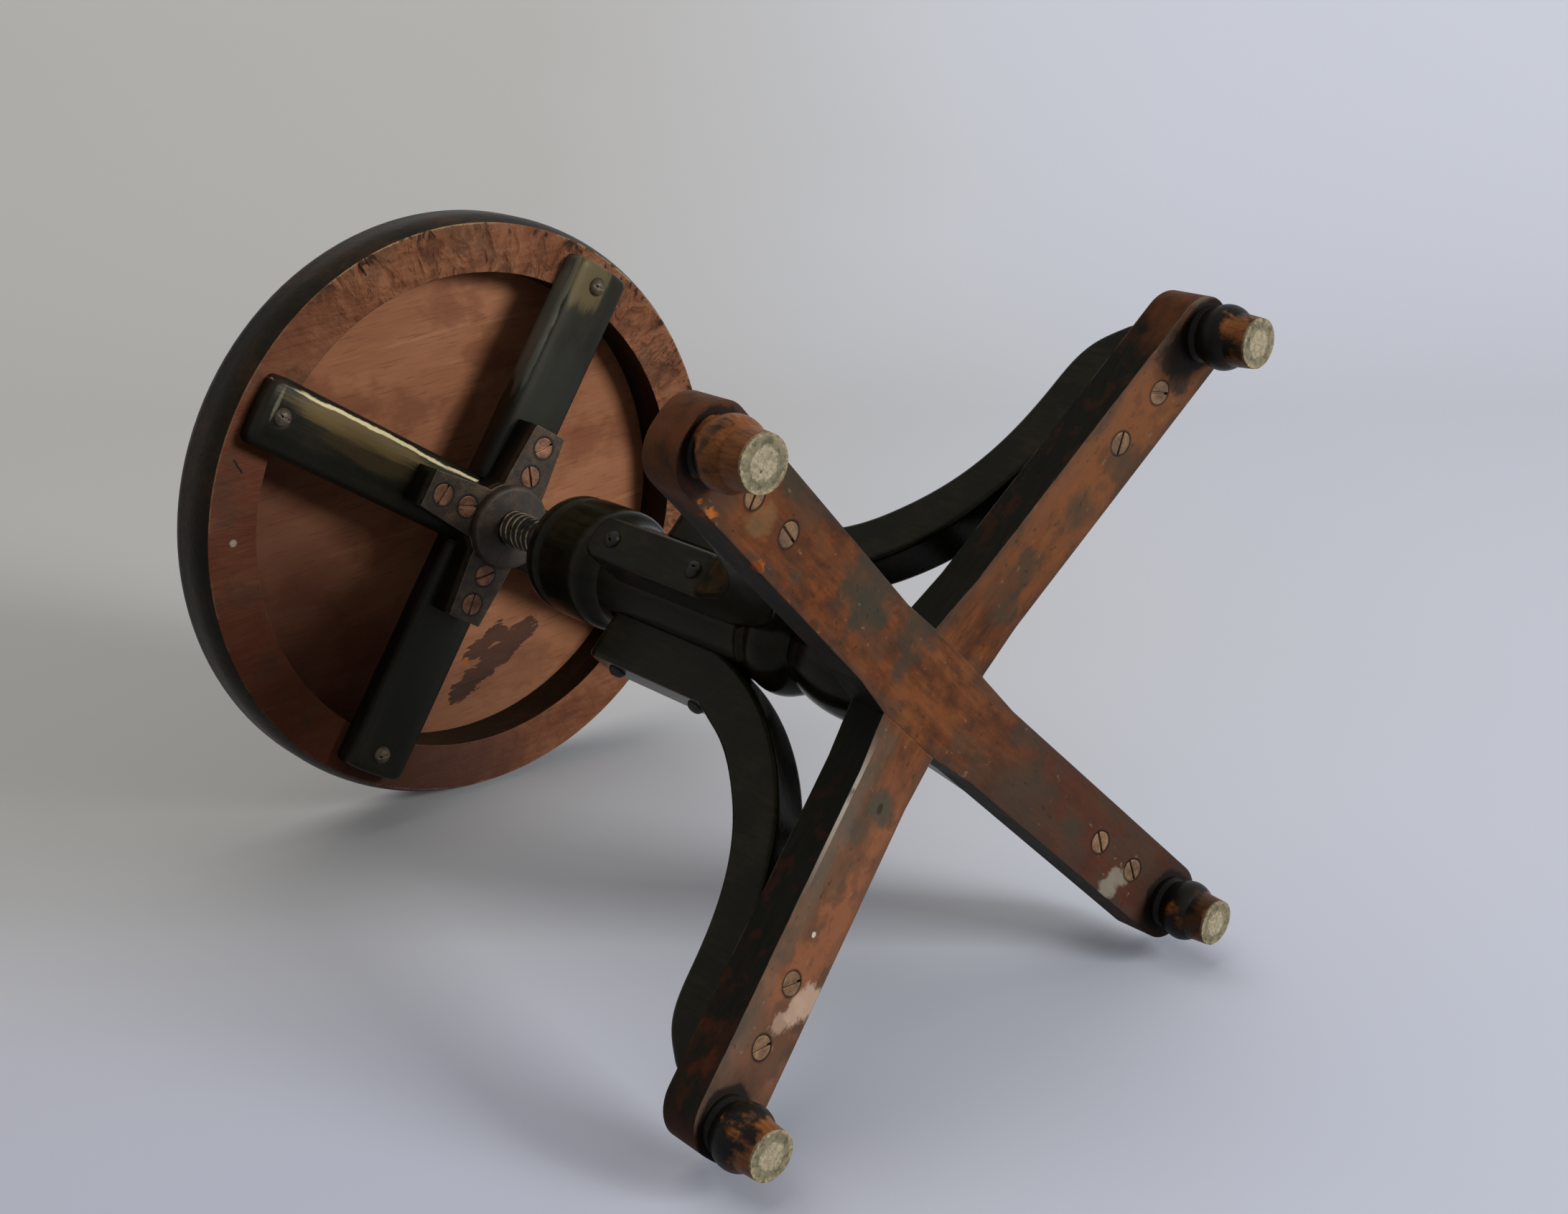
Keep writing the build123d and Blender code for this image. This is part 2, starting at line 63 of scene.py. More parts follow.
# %% Set up the camera
picture_wide = 2184
focal_pixels = 2799.94
sensor_wide = 36.0
nearest_seen = 0.05
farthest_seen = 60
picture_right = Vector((-0.53653553, 0.52652562, -0.65946979))
picture_down = Vector((-0.50394538, -0.82674186, -0.25007389))
picture_depth = Vector((-0.67688159, 0.19816322, 0.70891653))
camera_place = (0.676370, -0.184540, -0.537232)

camera_data = bpy.data.cameras.new("camera")
camera_data.sensor_width = sensor_wide
camera_data.lens = sensor_wide * focal_pixels / picture_wide
camera_data.clip_start = nearest_seen
camera_data.clip_end = farthest_seen
camera = bpy.data.objects.new("camera", camera_data)
bpy.context.scene.collection.objects.link(camera)
aimed = Matrix((picture_right, -picture_down, -picture_depth)).transposed().to_4x4()
aimed.translation = camera_place
camera.matrix_world = aimed
bpy.context.scene.camera = camera
bpy.context.scene.view_settings.view_transform = "Standard"
print("lens", round(camera_data.lens, 3), "mm")

# %% [markdown]
# ## The floor and its sweep
#
# The seat's rim and the ends of two bars rest on the floor, so the floor is the
# plane that touches all three. Its up is halfway between the stool's +X and +Y.
# A roll of paper would be pulled along the floor and up behind the stool, so
# that no corner shows. A bent grid would do, but it has many faces. Here a
# plane's back edge is extruded up as a wall, and the corner between the two is
# bevelled to a wide sweep, which leaves the flat parts as they are.

# %% Find the directions of the floor
floor_up = Vector((1, 1, 0)).normalized()
floor_front = -(picture_depth - picture_depth.dot(floor_up) * floor_up).normalized()
floor_right = floor_up.cross(floor_front)
stool_middle = Vector((0, 0, 0.235))
rim_radius = 0.1745


def floor_point(right, up, front):
    """A point from the floor under the stool's middle: right, up and towards the camera."""
    ground = stool_middle - rim_radius * floor_up
    return ground + right * floor_right + up * floor_up + front * floor_front


print("floor under the stool", [round(v, 4) for v in floor_point(0, 0, 0)])


# %% A helper that selects edges
def pick_edges(piece, wanted):
    """Goes into edit mode with only those edges selected whose middle is wanted."""
    bpy.ops.object.mode_set(mode="EDIT")
    bpy.ops.mesh.select_mode(type="EDGE")
    bpy.ops.mesh.select_all(action="DESELECT")
    bpy.ops.object.mode_set(mode="OBJECT")
    points = piece.data.vertices
    for edge in piece.data.edges:
        start, end = [points[i].co for i in edge.vertices]
        edge.select = wanted((start + end) / 2)
    bpy.ops.object.mode_set(mode="EDIT")


# %% Roll out the paper
floor_half = 5.0
floor_back = -2.6
wall_high = 4.0
sweep_radius = 1.5
sweep_steps = 24
flat_face_area = 2.0
touching = 1e-4
corner_middle = Vector((0, floor_back, 0))

bpy.ops.object.select_all(action="DESELECT")
bpy.ops.mesh.primitive_plane_add(size=2 * floor_half, location=(0, floor_half + floor_back, 0))
floor = bpy.context.object
floor.name = "floor"
bpy.ops.object.transform_apply(location=True)
pick_edges(floor, lambda middle: middle.y < floor_back + touching)
bpy.ops.mesh.extrude_region_move(TRANSFORM_OT_translate={"value": (0, 0, wall_high)})
bpy.ops.object.mode_set(mode="OBJECT")
pick_edges(floor, lambda middle: (middle - corner_middle).length < touching)
bpy.ops.mesh.bevel(offset=sweep_radius, segments=sweep_steps, affect="EDGES")
bpy.ops.mesh.select_all(action="SELECT")
bpy.ops.mesh.normals_make_consistent(inside=False)
bpy.ops.object.mode_set(mode="OBJECT")
if max(floor.data.polygons, key=lambda face: face.area).normal.z < 0:
    floor.data.flip_normals()
print("floor faces", len(floor.data.polygons))

# %% Lay it under the stool
laid = Matrix((-floor_right, floor_front, floor_up)).transposed().to_4x4()
laid.translation = floor_point(0, 0, 0)
floor.data.transform(laid)
for face in floor.data.polygons:
    face.use_smooth = face.area < flat_face_area
print("smooth faces", sum(face.use_smooth for face in floor.data.polygons))

# %% [markdown]
# ## Mixing finishes
#
# A finish is built from a few patterns and sums of them. It could be wired up
# node by node, but that is long and hard to read, so a few small classes do it,
# each built on the one before. `Reading` holds one socket, and a plain sum on it
# adds the Math node. `Tree` makes any node with one method, `add`: the settings
# first, then the sockets. `Mixer` lays colours over each other, `Patterned` has
# the noises, spots and worn edges that the stool's finishes share, and `Finish`
# joins the result to a material's shader.


# %% A socket that can be reckoned with
class Reading:
    """A value that varies over a surface."""

    def __init__(self, home, socket):
        self.home = home
        self.socket = socket

    def reckon(self, operation, first, second):
        return self.home.add("ShaderNodeMath", {"operation": operation}, {0: first, 1: second})

    def __add__(self, other):
        return self.reckon("ADD", self, other)

    def __sub__(self, other):
        return self.reckon("SUBTRACT", self, other)

    def __rsub__(self, other):
        return self.reckon("SUBTRACT", other, self)

    def __mul__(self, other):
        return self.reckon("MULTIPLY", self, other)

    def __truediv__(self, other):
        return self.reckon("DIVIDE", self, other)

    def __pow__(self, other):
        return self.reckon("POWER", self, other)

    __radd__ = __add__
    __rmul__ = __mul__

    def size(self):
        """The value without its sign."""
        return self.reckon("ABSOLUTE", self, 0.0)

    def long_side(self, other):
        """The long side of a right triangle whose other two are this value and another."""
        return (self**2.0 + other**2.0) ** 0.5

    def at_most(self, other):
        return self.reckon("MINIMUM", self, other)

    def at_least(self, other):
        return self.reckon("MAXIMUM", self, other)

    def step(self, low, high):
        """0 below low, 1 above high, and smooth in between; low may be the larger."""
        return self.home.add(
            "ShaderNodeMapRange",
            {"interpolation_type": "SMOOTHSTEP"},
            {0: self, 1: low, 2: high, 3: 0.0, 4: 1.0},
        )


# %% A tree that adds its own nodes
class Tree:
    """The nodes of a material or of the world."""

    def __init__(self, tree):
        self.tree = tree

    def add(self, kind, settings=None, sockets=None, out=0):
        """Makes a node: its settings first, then the values or links of its sockets."""
        made = self.tree.nodes.new(kind)
        for key, value in (settings or {}).items():
            if key == "stops":
                self.set_stops(made.color_ramp, value)
            else:
                setattr(made, key, value)
        for key, value in (sockets or {}).items():
            self.join(value, made.inputs[key])
        return Reading(self, made.outputs[out])

    def join(self, value, target):
        """Links a reading to a socket, or sets the socket to a plain value."""
        if isinstance(value, Reading):
            self.tree.links.new(value.socket, target)
        elif hasattr(target.default_value, "__len__") and len(target.default_value) == 4:
            target.default_value = (*value[:3], 1.0)
        else:
            target.default_value = value

    def set_stops(self, ramp, stops):
        while len(ramp.elements) < len(stops):
            ramp.elements.new(0.5)
        for element, (place, colour) in zip(ramp.elements, stops):
            element.position = place
            element.color = (*colour, 1.0)

    def tell(self, what):
        """Prints how many nodes the tree has by now."""
        print(what, "with", len(self.tree.nodes), "nodes so far")


# %% Colours laid over each other
class Mixer(Tree):
    """A tree that mixes colours."""

    def ramp(self, value, stops):
        """A colour for each value, from stops of a value and its colour."""
        return self.add("ShaderNodeValToRGB", {"stops": stops}, {0: value})

    def mix(self, share, first, second):
        """The first colour, and the second where share is 1."""
        return self.add(
            "ShaderNodeMix",
            {"data_type": "RGBA", "blend_type": "MIX", "clamp_factor": True},
            {0: share, 6: first, 7: second},
            out=2,
        )

    def over(self, colour, layers):
        """Lays more colours over one, each with its own share, the last on top."""
        for share, tone in layers:
            colour = self.mix(share, colour, tone)
        return colour

    def seen(self):
        """1 where the camera, a mirror or glass looks, and 0 for rays that carry light."""
        seen_by = [
            self.add("ShaderNodeLightPath", out=f"Is {kind} Ray")
            for kind in ("Camera", "Glossy", "Transmission")
        ]
        return seen_by[0].at_least(seen_by[1]).at_least(seen_by[2])


# %% A material and its coordinates
class Surface(Mixer):
    """A material that knows where each of its points is."""

    def __init__(self, name, **fixed):
        self.material = bpy.data.materials.new(name)
        self.material.use_nodes = True
        super().__init__(self.material.node_tree)
        self.shader = self.tree.nodes["Principled BSDF"]
        for socket, value in fixed.items():
            self.shader.inputs[socket.replace("_", " ")].default_value = value
        self.place = self.add("ShaderNodeTexCoord", out="Object")
        self.x, self.y, self.z = self.parts(self.place)

    def parts(self, vector):
        apart = self.add("ShaderNodeSeparateXYZ", None, {0: vector})
        return [Reading(self, out) for out in apart.socket.node.outputs]

    def vector(self, operation, first, second, out=0):
        settings = {"operation": operation}
        return self.add("ShaderNodeVectorMath", settings, {0: first, 1: second}, out=out)

    def facing_down(self, low, high):
        """1 on faces that look down along the stool, and 0 on its sides."""
        facing = self.add("ShaderNodeTexCoord", out="Normal")
        return (0.0 - self.parts(facing)[2]).step(low, high)


# %% Noises, spots and worn edges
class Patterned(Surface):
    """A material with the patterns that the finishes share."""

    corner_samples = 4
    sharp_from, sharp_to = 0.04, 0.3
    raggedness = 3.6

    def cloud(
        self, scale, stretch=(1, 1, 1), turn=0.0, *, detail, rough=0.55, swirl=0.0, place=None
    ):
        """A noise with scale features a metre, longer by stretch along axes turned about Z."""
        laid_out = self.add(
            "ShaderNodeMapping",
            {"vector_type": "TEXTURE"},
            {0: place or self.place, "Rotation": (0, 0, turn), "Scale": stretch},
        )
        look = {"Scale": scale, "Detail": detail, "Roughness": rough, "Distortion": swirl}
        return self.add("ShaderNodeTexNoise", None, {"Vector": laid_out, **look})

    def rounded(self, radius):
        """The way a surface would face if its edges were rounded."""
        return self.add("ShaderNodeBevel", {"samples": self.corner_samples}, {"Radius": radius})

    def edges(self, width):
        """1 on sharp edges and 0 away from them."""
        flat = self.add("ShaderNodeNewGeometry", out="Normal")
        alike = self.vector("DOT_PRODUCT", self.rounded(width), flat, out="Value")
        return (1.0 - alike).step(self.sharp_from, self.sharp_to)

    def spot(self, centre, radius, ragged=None, soft=0.3):
        """1 round a point and 0 away from it, with a ragged border if a noise is given."""
        reach = self.vector("DISTANCE", self.place, centre, out="Value") / radius
        if ragged is not None:
            reach = reach + (ragged - 0.5) * self.raggedness
        return reach.step(1.0 + soft, 1.0 - soft)


# %% A finish that goes on pieces
class Finish(Patterned):
    """A material whose patterns are joined to its shader."""

    def wear(self, colour, roughness, height=None, depth=0.0004, round_edges=0.0, swell=None):
        """Joins the finished patterns to the shader; swell is a larger swelling in metres."""
        self.join(colour, self.shader.inputs["Base Color"])
        self.join(roughness, self.shader.inputs["Roughness"])
        under = {"Normal": self.rounded(round_edges)} if round_edges else {}
        if swell is not None:
            height, depth = height * depth + swell, 1.0
        if height is not None:
            sockets = {"Height": height, "Distance": depth, "Strength": 1.0, **under}
            self.join(self.add("ShaderNodeBump", None, sockets), self.shader.inputs["Normal"])

    def put_on(self, *pieces):
        for piece in pieces:
            piece.data.materials.clear()
            piece.data.materials.append(self.material)
        print(self.material.name, "on", ", ".join(p.name for p in pieces))


# %% [markdown]
# ## The light
#
# The picture is lit like a room, by one window low at the right front, and by
# what the walls send back. A lamp for each wall would give each its own shadow.
# So a soft lamp stands for the window, a wide one overhead fills in softly, and
# an even world light does the rest. Polish mirrors the window but not the lamp
# overhead, which would show in it as a square. The world is paler to the camera
# and in reflections than as a light.


# %% Hang the lamps
def hang(name, place, width, power, colour, mirrored):
    """A soft square lamp over the floor, turned to the stool, and mirrored in polish or not."""
    light = bpy.data.lights.new(name, "AREA")
    light.shape = "SQUARE"
    light.size = width
    light.energy = power
    light.color = colour
    lamp = bpy.data.objects.new(name, light)
    bpy.context.scene.collection.objects.link(lamp)
    lamp.location = floor_point(*place)
    aim = stool_middle - lamp.location
    lamp.rotation_euler = aim.to_track_quat("-Z", "Y").to_euler()
    lamp.visible_glossy = mirrored
    print(name, power, "W,", round(aim.length, 2), "m from the stool")


daylight = (0.97, 0.985, 1.0)
lamplight = (1.0, 0.97, 0.92)
hang("window", (4.66, 1.69, 2.01), width=1.7, power=208, colour=daylight, mirrored=True)
hang("ceiling", (-1.0, 3.5, -0.9), width=4.2, power=62, colour=lamplight, mirrored=False)

# %% Fill the room
room_colour = (0.18, 0.18, 0.186)
seen_colour = (0.50, 0.505, 0.52)

world = bpy.data.worlds.new("room")
bpy.context.scene.world = world
world.use_nodes = True
room = Mixer(world.node_tree)
room_light = room.mix(room.seen(), room_colour, seen_colour)
room.join(room_light, room.tree.nodes["Background"].inputs["Color"])
print("room light", room_colour, "seen as", seen_colour)

# %% [markdown]
# ## The floor's paper
#
# The paper is pale, and its tones are painted light and shade: grey on the far
# left, bluer to the right and near the camera, and almost white where it climbs
# at the left. One flat colour would leave all of that to the lamps, so how far a
# point lies to the right, to the front and up picks its tone. To rays that only
# carry light the paper is a plain grey, so that it doesn't tint the stool from
# below. It is clear from behind and to shadow rays, so views from below and the
# lamps pass through it.


# %% A colour by its numbers
def shade(red, green, blue):
    """A colour told by three numbers from 0 to 255, as light, by the sRGB curve."""
    curve_starts, straight = 10, 3294
    return tuple(
        ((v / 255 + 0.055) / 1.055) ** 2.4 if v > curve_starts else v / straight
        for v in (red, green, blue)
    )


# %% Tone the paper with painted light
paper = Finish("paper", Specular_IOR_Level=0.2)
across, nearer, higher = [
    paper.vector("DOT_PRODUCT", paper.place, tuple(way), out="Value")
    for way in (floor_right, floor_front, floor_up)
]
paper_mottle = paper.cloud(2.2, detail=2.0)
paper_tone_and_light = paper.ramp(
    across + 0.5 + (paper_mottle - 0.5) * 0.25,
    [
        (0.05, shade(208, 207, 204)),
        (0.4, shade(219, 220, 223)),
        (0.65, shade(226, 229, 237)),
        (0.95, shade(228, 232, 244)),
    ],
)
# Painted light: bluer to the near right and near left, paler high on the left.
near_right = nearer.step(-0.7, 0.25) * across.step(-0.5, 0.2)
near_left = nearer.step(-0.3, 0.12) * across.step(0.05, -0.3)
high_left = higher.step(0.1, 0.9) * across.step(0.5, -0.6)
paper_tone_and_light = paper.over(
    paper_tone_and_light,
    [
        (near_right * 0.8, shade(226, 232, 250)),
        (near_left * 0.75, shade(208, 213, 234)),
        (high_left * 0.7, shade(244, 244, 243)),
    ],
)
paper.wear(paper.mix(paper.seen(), shade(110, 110, 112), paper_tone_and_light), 0.8)
paper.put_on(floor)

# %% Make it clear from behind
behind = paper.add("ShaderNodeNewGeometry", out="Backfacing")
shadow_ray = paper.add("ShaderNodeLightPath", out="Is Shadow Ray")
clear = paper.add("ShaderNodeBsdfTransparent", None, {"Color": (1, 1, 1, 1)})
solid = Reading(paper, paper.shader.outputs[0])
shown = paper.add(
    "ShaderNodeMixShader", None, {0: behind.at_least(shadow_ray), 1: solid, 2: clear}
)
paper.join(shown, paper.tree.nodes["Material Output"].inputs["Surface"])
paper.tell("paper")

# %% [markdown]
# ## The iron screw
#
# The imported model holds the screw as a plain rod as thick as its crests. The
# real one has a coarse thread of 5 mm a turn, which is what lifts the seat. A
# bump could only paint the turns, and the rod's outline would stay straight, so
# the thread is real geometry. One turn of its outline is drawn as a line of
# seven points and wound up with the Screw modifier. The wound surface is then
# cut square at both ends, and the cut is filled, so that it is a closed body.

# %% Draw one turn of the thread
pitch = 0.005
crest = 0.0105
root = 0.0088
rounding = 0.0002
flank = crest - root - rounding
start_size = 0.001
rod_low, rod_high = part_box("spindle")

bpy.ops.object.select_all(action="DESELECT")
bpy.context.tool_settings.mesh_select_mode = (True, False, False)
bpy.ops.mesh.primitive_plane_add(size=start_size, location=(root, 0, rod_low.z - pitch))
thread = bpy.context.object
thread.name = "iron_screw"
bpy.ops.object.transform_apply(location=True)
bpy.ops.object.mode_set(mode="EDIT")
bpy.ops.mesh.merge(type="CENTER")
outline = [
    (0.0, 0.22),
    (flank, 0.24),
    (rounding, 0.05),
    (0.0, 0.16),
    (-rounding, 0.05),
    (-flank, 0.28),
]
for outward, share in outline:
    bpy.ops.mesh.extrude_region_move(
        TRANSFORM_OT_translate={"value": (outward, 0, share * pitch)}
    )
bpy.ops.object.mode_set(mode="OBJECT")
print("outline points", len(thread.data.vertices))

# %% Wind it up
steps_a_turn = 40
same_point = 1e-6
winding = thread.modifiers.new("winding", "SCREW")
winding.axis = "Z"
winding.angle = 2 * math.pi
winding.screw_offset = pitch
winding.iterations = math.ceil((rod_high.z - rod_low.z) / pitch) + 2
winding.steps = winding.render_steps = steps_a_turn
winding.use_merge_vertices = True
winding.merge_threshold = same_point
bpy.ops.object.modifier_apply(modifier="winding")
print("wound to", len(thread.data.polygons), "faces")


# %% Cut it square
def cut_square(height, keep_above):
    """Cuts the wound body level at a height and fills the cut."""
    bpy.ops.object.mode_set(mode="EDIT")
    bpy.ops.mesh.select_all(action="SELECT")
    bpy.ops.mesh.remove_doubles(threshold=same_point)
    bpy.ops.mesh.bisect(
        plane_co=(0, 0, height),
        plane_no=(0, 0, 1),
        use_fill=True,
        clear_inner=keep_above,
        clear_outer=not keep_above,
    )
    bpy.ops.object.mode_set(mode="OBJECT")


clear_of_hole = 0.0005
smooth_angle = math.radians(35)
cut_square(rod_low.z + clear_of_hole, keep_above=True)
cut_square(rod_high.z, keep_above=False)
bpy.ops.object.mode_set(mode="EDIT")
bpy.ops.mesh.select_all(action="SELECT")
bpy.ops.mesh.normals_make_consistent(inside=False)
bpy.ops.object.mode_set(mode="OBJECT")
bpy.ops.object.shade_smooth_by_angle(angle=smooth_angle)
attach(thread, "seat")
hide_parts("spindle")
print("thread", len(thread.data.polygons), "faces")

# %% [markdown]
# ## Base bars
#
# The undersides of the bars were never polished: red-brown wood, mottled with
# grey-green and brown, darker along the sides, and almost black in a ring round
# each foot. The gaps round the screws are painted shade. The four arms have aged
# apart. One is maroon, one orange-brown and one only orange at its end, and the
# fourth is pale, with a grey band and a crisp pale line along one side. Scuffs
# show paler or darker, and two dark patches beside one foot are its painted
# shadow.
# The sides are stained black near the crossing and show red through the wear
# further out. Sharp edges are rubbed pale, with chips down to fresh wood.
#
# All of it could be painted as a picture, but then it would hold for one size
# and one view only. Noises, laid along the grain, give the same kinds of mark
# from all sides. One set of functions makes the finish, and each bar gets its
# own tints and marks at the places where the real bar has them.


# %% The patterns of a bar
class BarWood(Finish):
    """The wood of a base bar, with the measures and noises that its marks share."""

    def __init__(self, name, turn):
        super().__init__(name, Specular_IOR_Level=0.1)
        self.run = self.y if turn else self.x
        self.out = self.x.size().at_least(self.y.size())
        self.aside = self.x.size().at_most(self.y.size())
        self.grain = self.cloud(420, (9, 1, 1), turn, detail=5, rough=0.6)
        self.streak = self.cloud(90, (6, 1, 1), turn, detail=3)
        self.mottle = self.cloud(58, (1.3, 1, 1), turn, detail=5, rough=0.58)
        self.blotch = self.cloud(25, (1.6, 1, 1), turn, detail=3, rough=0.5)
        self.ragged = self.cloud(105, (1.3, 1, 1), turn, detail=5, rough=0.62)
        self.speck = self.cloud(230, (1.4, 1, 1), turn, detail=3)

    def from_reach(self, reach):
        """How far a point is from the middle of an arm's underside at a reach."""
        return (self.out - reach).long_side(self.aside)


# %% The underside's own colours
def mottled_wood(wood, tints, greys):
    """Red-brown wood with the tints of its arms, grey patches and darker sides."""
    mottle, ragged = wood.mottle, wood.ragged
    bare = wood.ramp(
        wood.streak * 0.25 + wood.grain * 0.2 + mottle * 0.3 + ragged * 0.25,
        [(0.38, shade(66, 38, 21)), (0.5, shade(102, 58, 32)), (0.62, shade(132, 80, 45))],
    )
    dirt = (wood.blotch * 0.4 + mottle * 0.4 + ragged * 0.2).step(0.49, 0.58)
    near_side = (wood.aside + (mottle - 0.5) * 0.02).step(0.0135, 0.0195)
    patch_border = ragged * 0.7 + mottle * 0.3
    layers = [(ragged.step(0.53, 0.62) * 0.4, shade(128, 68, 32))]
    for start, full, share, tint in tints:
        layers.append((wood.run.step(start, full) * share, tint))
    layers.append((dirt * 0.6, shade(66, 54, 42)))
    layers.append((ragged.step(0.46, 0.38) * 0.28, shade(54, 44, 33)))
    for centre, radius, share in greys:
        patch = wood.spot(centre, radius, patch_border, soft=0.5)
        layers.append((patch * share * 0.85, shade(58, 57, 46)))
    layers.append((near_side * 0.5, shade(58, 52, 45)))
    return wood.over(bare, layers)


# %% The grey band of the cross bar
def grey_band(wood, share):
    """A grey band along one side, mostly on one arm, and a crisp pale line at its edge."""
    run, ragged = wood.run, wood.ragged
    uneven = (wood.mottle - 0.5) * 0.016 + (ragged - 0.5) * 0.008
    band = (wood.x + uneven).step(0.005, 0.0125) * wood.out.step(0.02, 0.03)
    one_arm = run.step(0.02, -0.02) * 0.7 + 0.3
    weaker_out = run.step(-0.125, -0.085) * 0.45 + 0.55
    weaker_in = 1.0 - run.step(-0.075, -0.03) * 0.55
    line = (wood.x + (ragged - 0.5) * 0.001).step(0.017, 0.0175)
    line_length = run.step(-0.03, -0.06) * run.step(-0.12, -0.06)
    return [
        (band * one_arm * weaker_out * weaker_in * share, shade(98, 88, 74)),
        (line * line_length * ragged.step(0.3, 0.5) * share, shade(190, 178, 164)),
    ]


# %% Specks, scuff marks, foot rings and painted shade
screw_reaches = (0.145, 0.175)
screw_gap_shade = (0.0072, 0.0058)
foot_reach = 0.2105


def marked(wood, bare, scuffs_and_shadows, band):
    """The underside with its band, specks, scuff marks and painted foot shadow,
    a black ring round each foot, and painted shade in the gaps round the screws.
    """
    mottle, ragged, speck = wood.mottle, wood.ragged, wood.speck
    layers = grey_band(wood, band) if band else []
    layers.append((speck.step(0.67, 0.73) * 0.4, shade(150, 124, 98)))
    layers.append((speck.step(0.34, 0.29) * 0.45, shade(32, 24, 20)))
    scuff_border = ragged * 0.6 + speck * 0.4
    # Scuffs, and on the cross bar a painted shadow beside one foot.
    for centre, radius, share, tone in scuffs_and_shadows:
        layers.append((wood.spot(centre, radius, scuff_border) * share, tone))
    from_foot = wood.from_reach(foot_reach)
    haze = (from_foot + (mottle - 0.5) * 0.02).step(0.034, 0.018)
    # An almost black ring round the base of each foot.
    foot_ring = (from_foot + (ragged - 0.5) * 0.008).step(0.0185, 0.0155)
    layers.append((haze * 0.45, shade(42, 30, 25)))
    layers.append((foot_ring * 0.9, shade(15, 14, 12)))
    # Painted shade in the gap round each screw head.
    for reach in screw_reaches:
        gap_shade = wood.from_reach(reach).step(*screw_gap_shade)
        layers.append((gap_shade * 0.85, shade(14, 11, 9)))
    return wood.over(bare, layers)


# %% Stained sides
def stained_sides(wood):
    """Black stain that shows red through its wear, most of all towards the feet."""
    black = wood.ramp(wood.grain, [(0.3, shade(17, 17, 11)), (0.7, shade(29, 28, 19))])
    rubbed = (wood.blotch * 0.35 + wood.mottle * 0.65 + (wood.out - 0.2) * 3.0).step(0.38, 0.66)
    flecks = wood.ragged.step(0.5, 0.62) * wood.out.step(0.03, 0.09)
    bright_flecks = wood.ragged.step(0.52, 0.64) * rubbed
    red = wood.mix(wood.run.step(0.17, 0.19), shade(74, 39, 24), shade(116, 70, 42))
    return wood.over(
        black,
        [
            (flecks * 0.3, shade(84, 42, 24)),
            (rubbed * 0.75, red),
            (bright_flecks * 0.5, shade(108, 54, 28)),
        ],
    )


# %% Edges, chips and the whole bar
def bar_finish(name, turn, tints, greys, scuffs_and_shadows, chips, edge_tone, band=0.0):
    """A base bar, its grain turned, with its own tints, marks, chips, edges and band."""
    wood = BarWood(name, turn)
    underside = marked(wood, mottled_wood(wood, tints, greys), scuffs_and_shadows, band)
    skin = wood.mix(wood.facing_down(0.75, 0.95), stained_sides(wood), underside)
    edge = wood.edges(0.0013)
    patchy = wood.cloud(70, detail=5).step(0.4, 0.56)
    skin = wood.mix(edge * patchy * 0.6, skin, edge_tone)
    for centre, radius in chips:
        at_side = (wood.aside + (wood.speck - 0.5) * 0.004).step(0.0145, 0.0165)
        fresh = wood.ramp(wood.speck, [(0.4, shade(116, 60, 28)), (0.6, shade(176, 102, 44))])
        skin = wood.mix(wood.spot(centre, radius, wood.speck, soft=0.15) * at_side, skin, fresh)
    wood.wear(
        skin,
        0.5 + wood.mottle * 0.16 + edge * 0.1,
        wood.grain * 0.35 + wood.mottle * 0.35 + wood.speck * 0.3,
        depth=0.0005,
        round_edges=0.0014,
    )
    return wood


# %% The long bar's marks
pale_grey = shade(134, 126, 110)
long_tints = [
    (-0.03, -0.1, 0.8, shade(76, 42, 31)),
    (0.17, 0.205, 0.5, shade(128, 74, 42)),
]
long_greys = [
    ((0.1579, 0.0175, 0.0377), 0.008, 0.8),
    ((0.1266, -0.0103, 0.0421), 0.004, 0.6),
    ((0.0842, 0.0118, 0.048), 0.016, 0.85),
    ((0.0696, 0.0049, 0.0501), 0.013, 0.85),
    ((0.0332, 0.0169, 0.0552), 0.012, 0.8),
    ((0.0291, -0.0024, 0.0558), 0.006, 0.7),
    ((-0.0675, 0.0175, 0.0504), 0.010, 0.6),
    ((-0.0856, -0.0054, 0.0478), 0.015, 0.6),
    ((-0.1245, -0.004, 0.0424), 0.0075, 0.55),
]
long_scuffs = [
    ((-0.168, -0.0085, 0.0363), 0.0062, 0.9, pale_grey),
    ((-0.1648, -0.0145, 0.0367), 0.0058, 0.9, pale_grey),
    ((-0.1725, -0.0035, 0.0356), 0.0045, 0.8, pale_grey),
    ((0.1652, -0.0038, 0.0367), 0.008, 0.3, shade(150, 120, 84)),
]
long_chips = [
    ((0.1909, -0.0179, 0.033), 0.0042),
    ((0.1494, -0.0178, 0.0389), 0.0032),
    ((0.2, -0.0179, 0.032), 0.0015),
]
long_edge = shade(118, 92, 70)
long_grain = 0.0
worn_long = bar_finish(
    "worn_bar_long", long_grain, long_tints, long_greys, long_scuffs, long_chips, long_edge
)
worn_long.put_on(node["base_bar_long"])

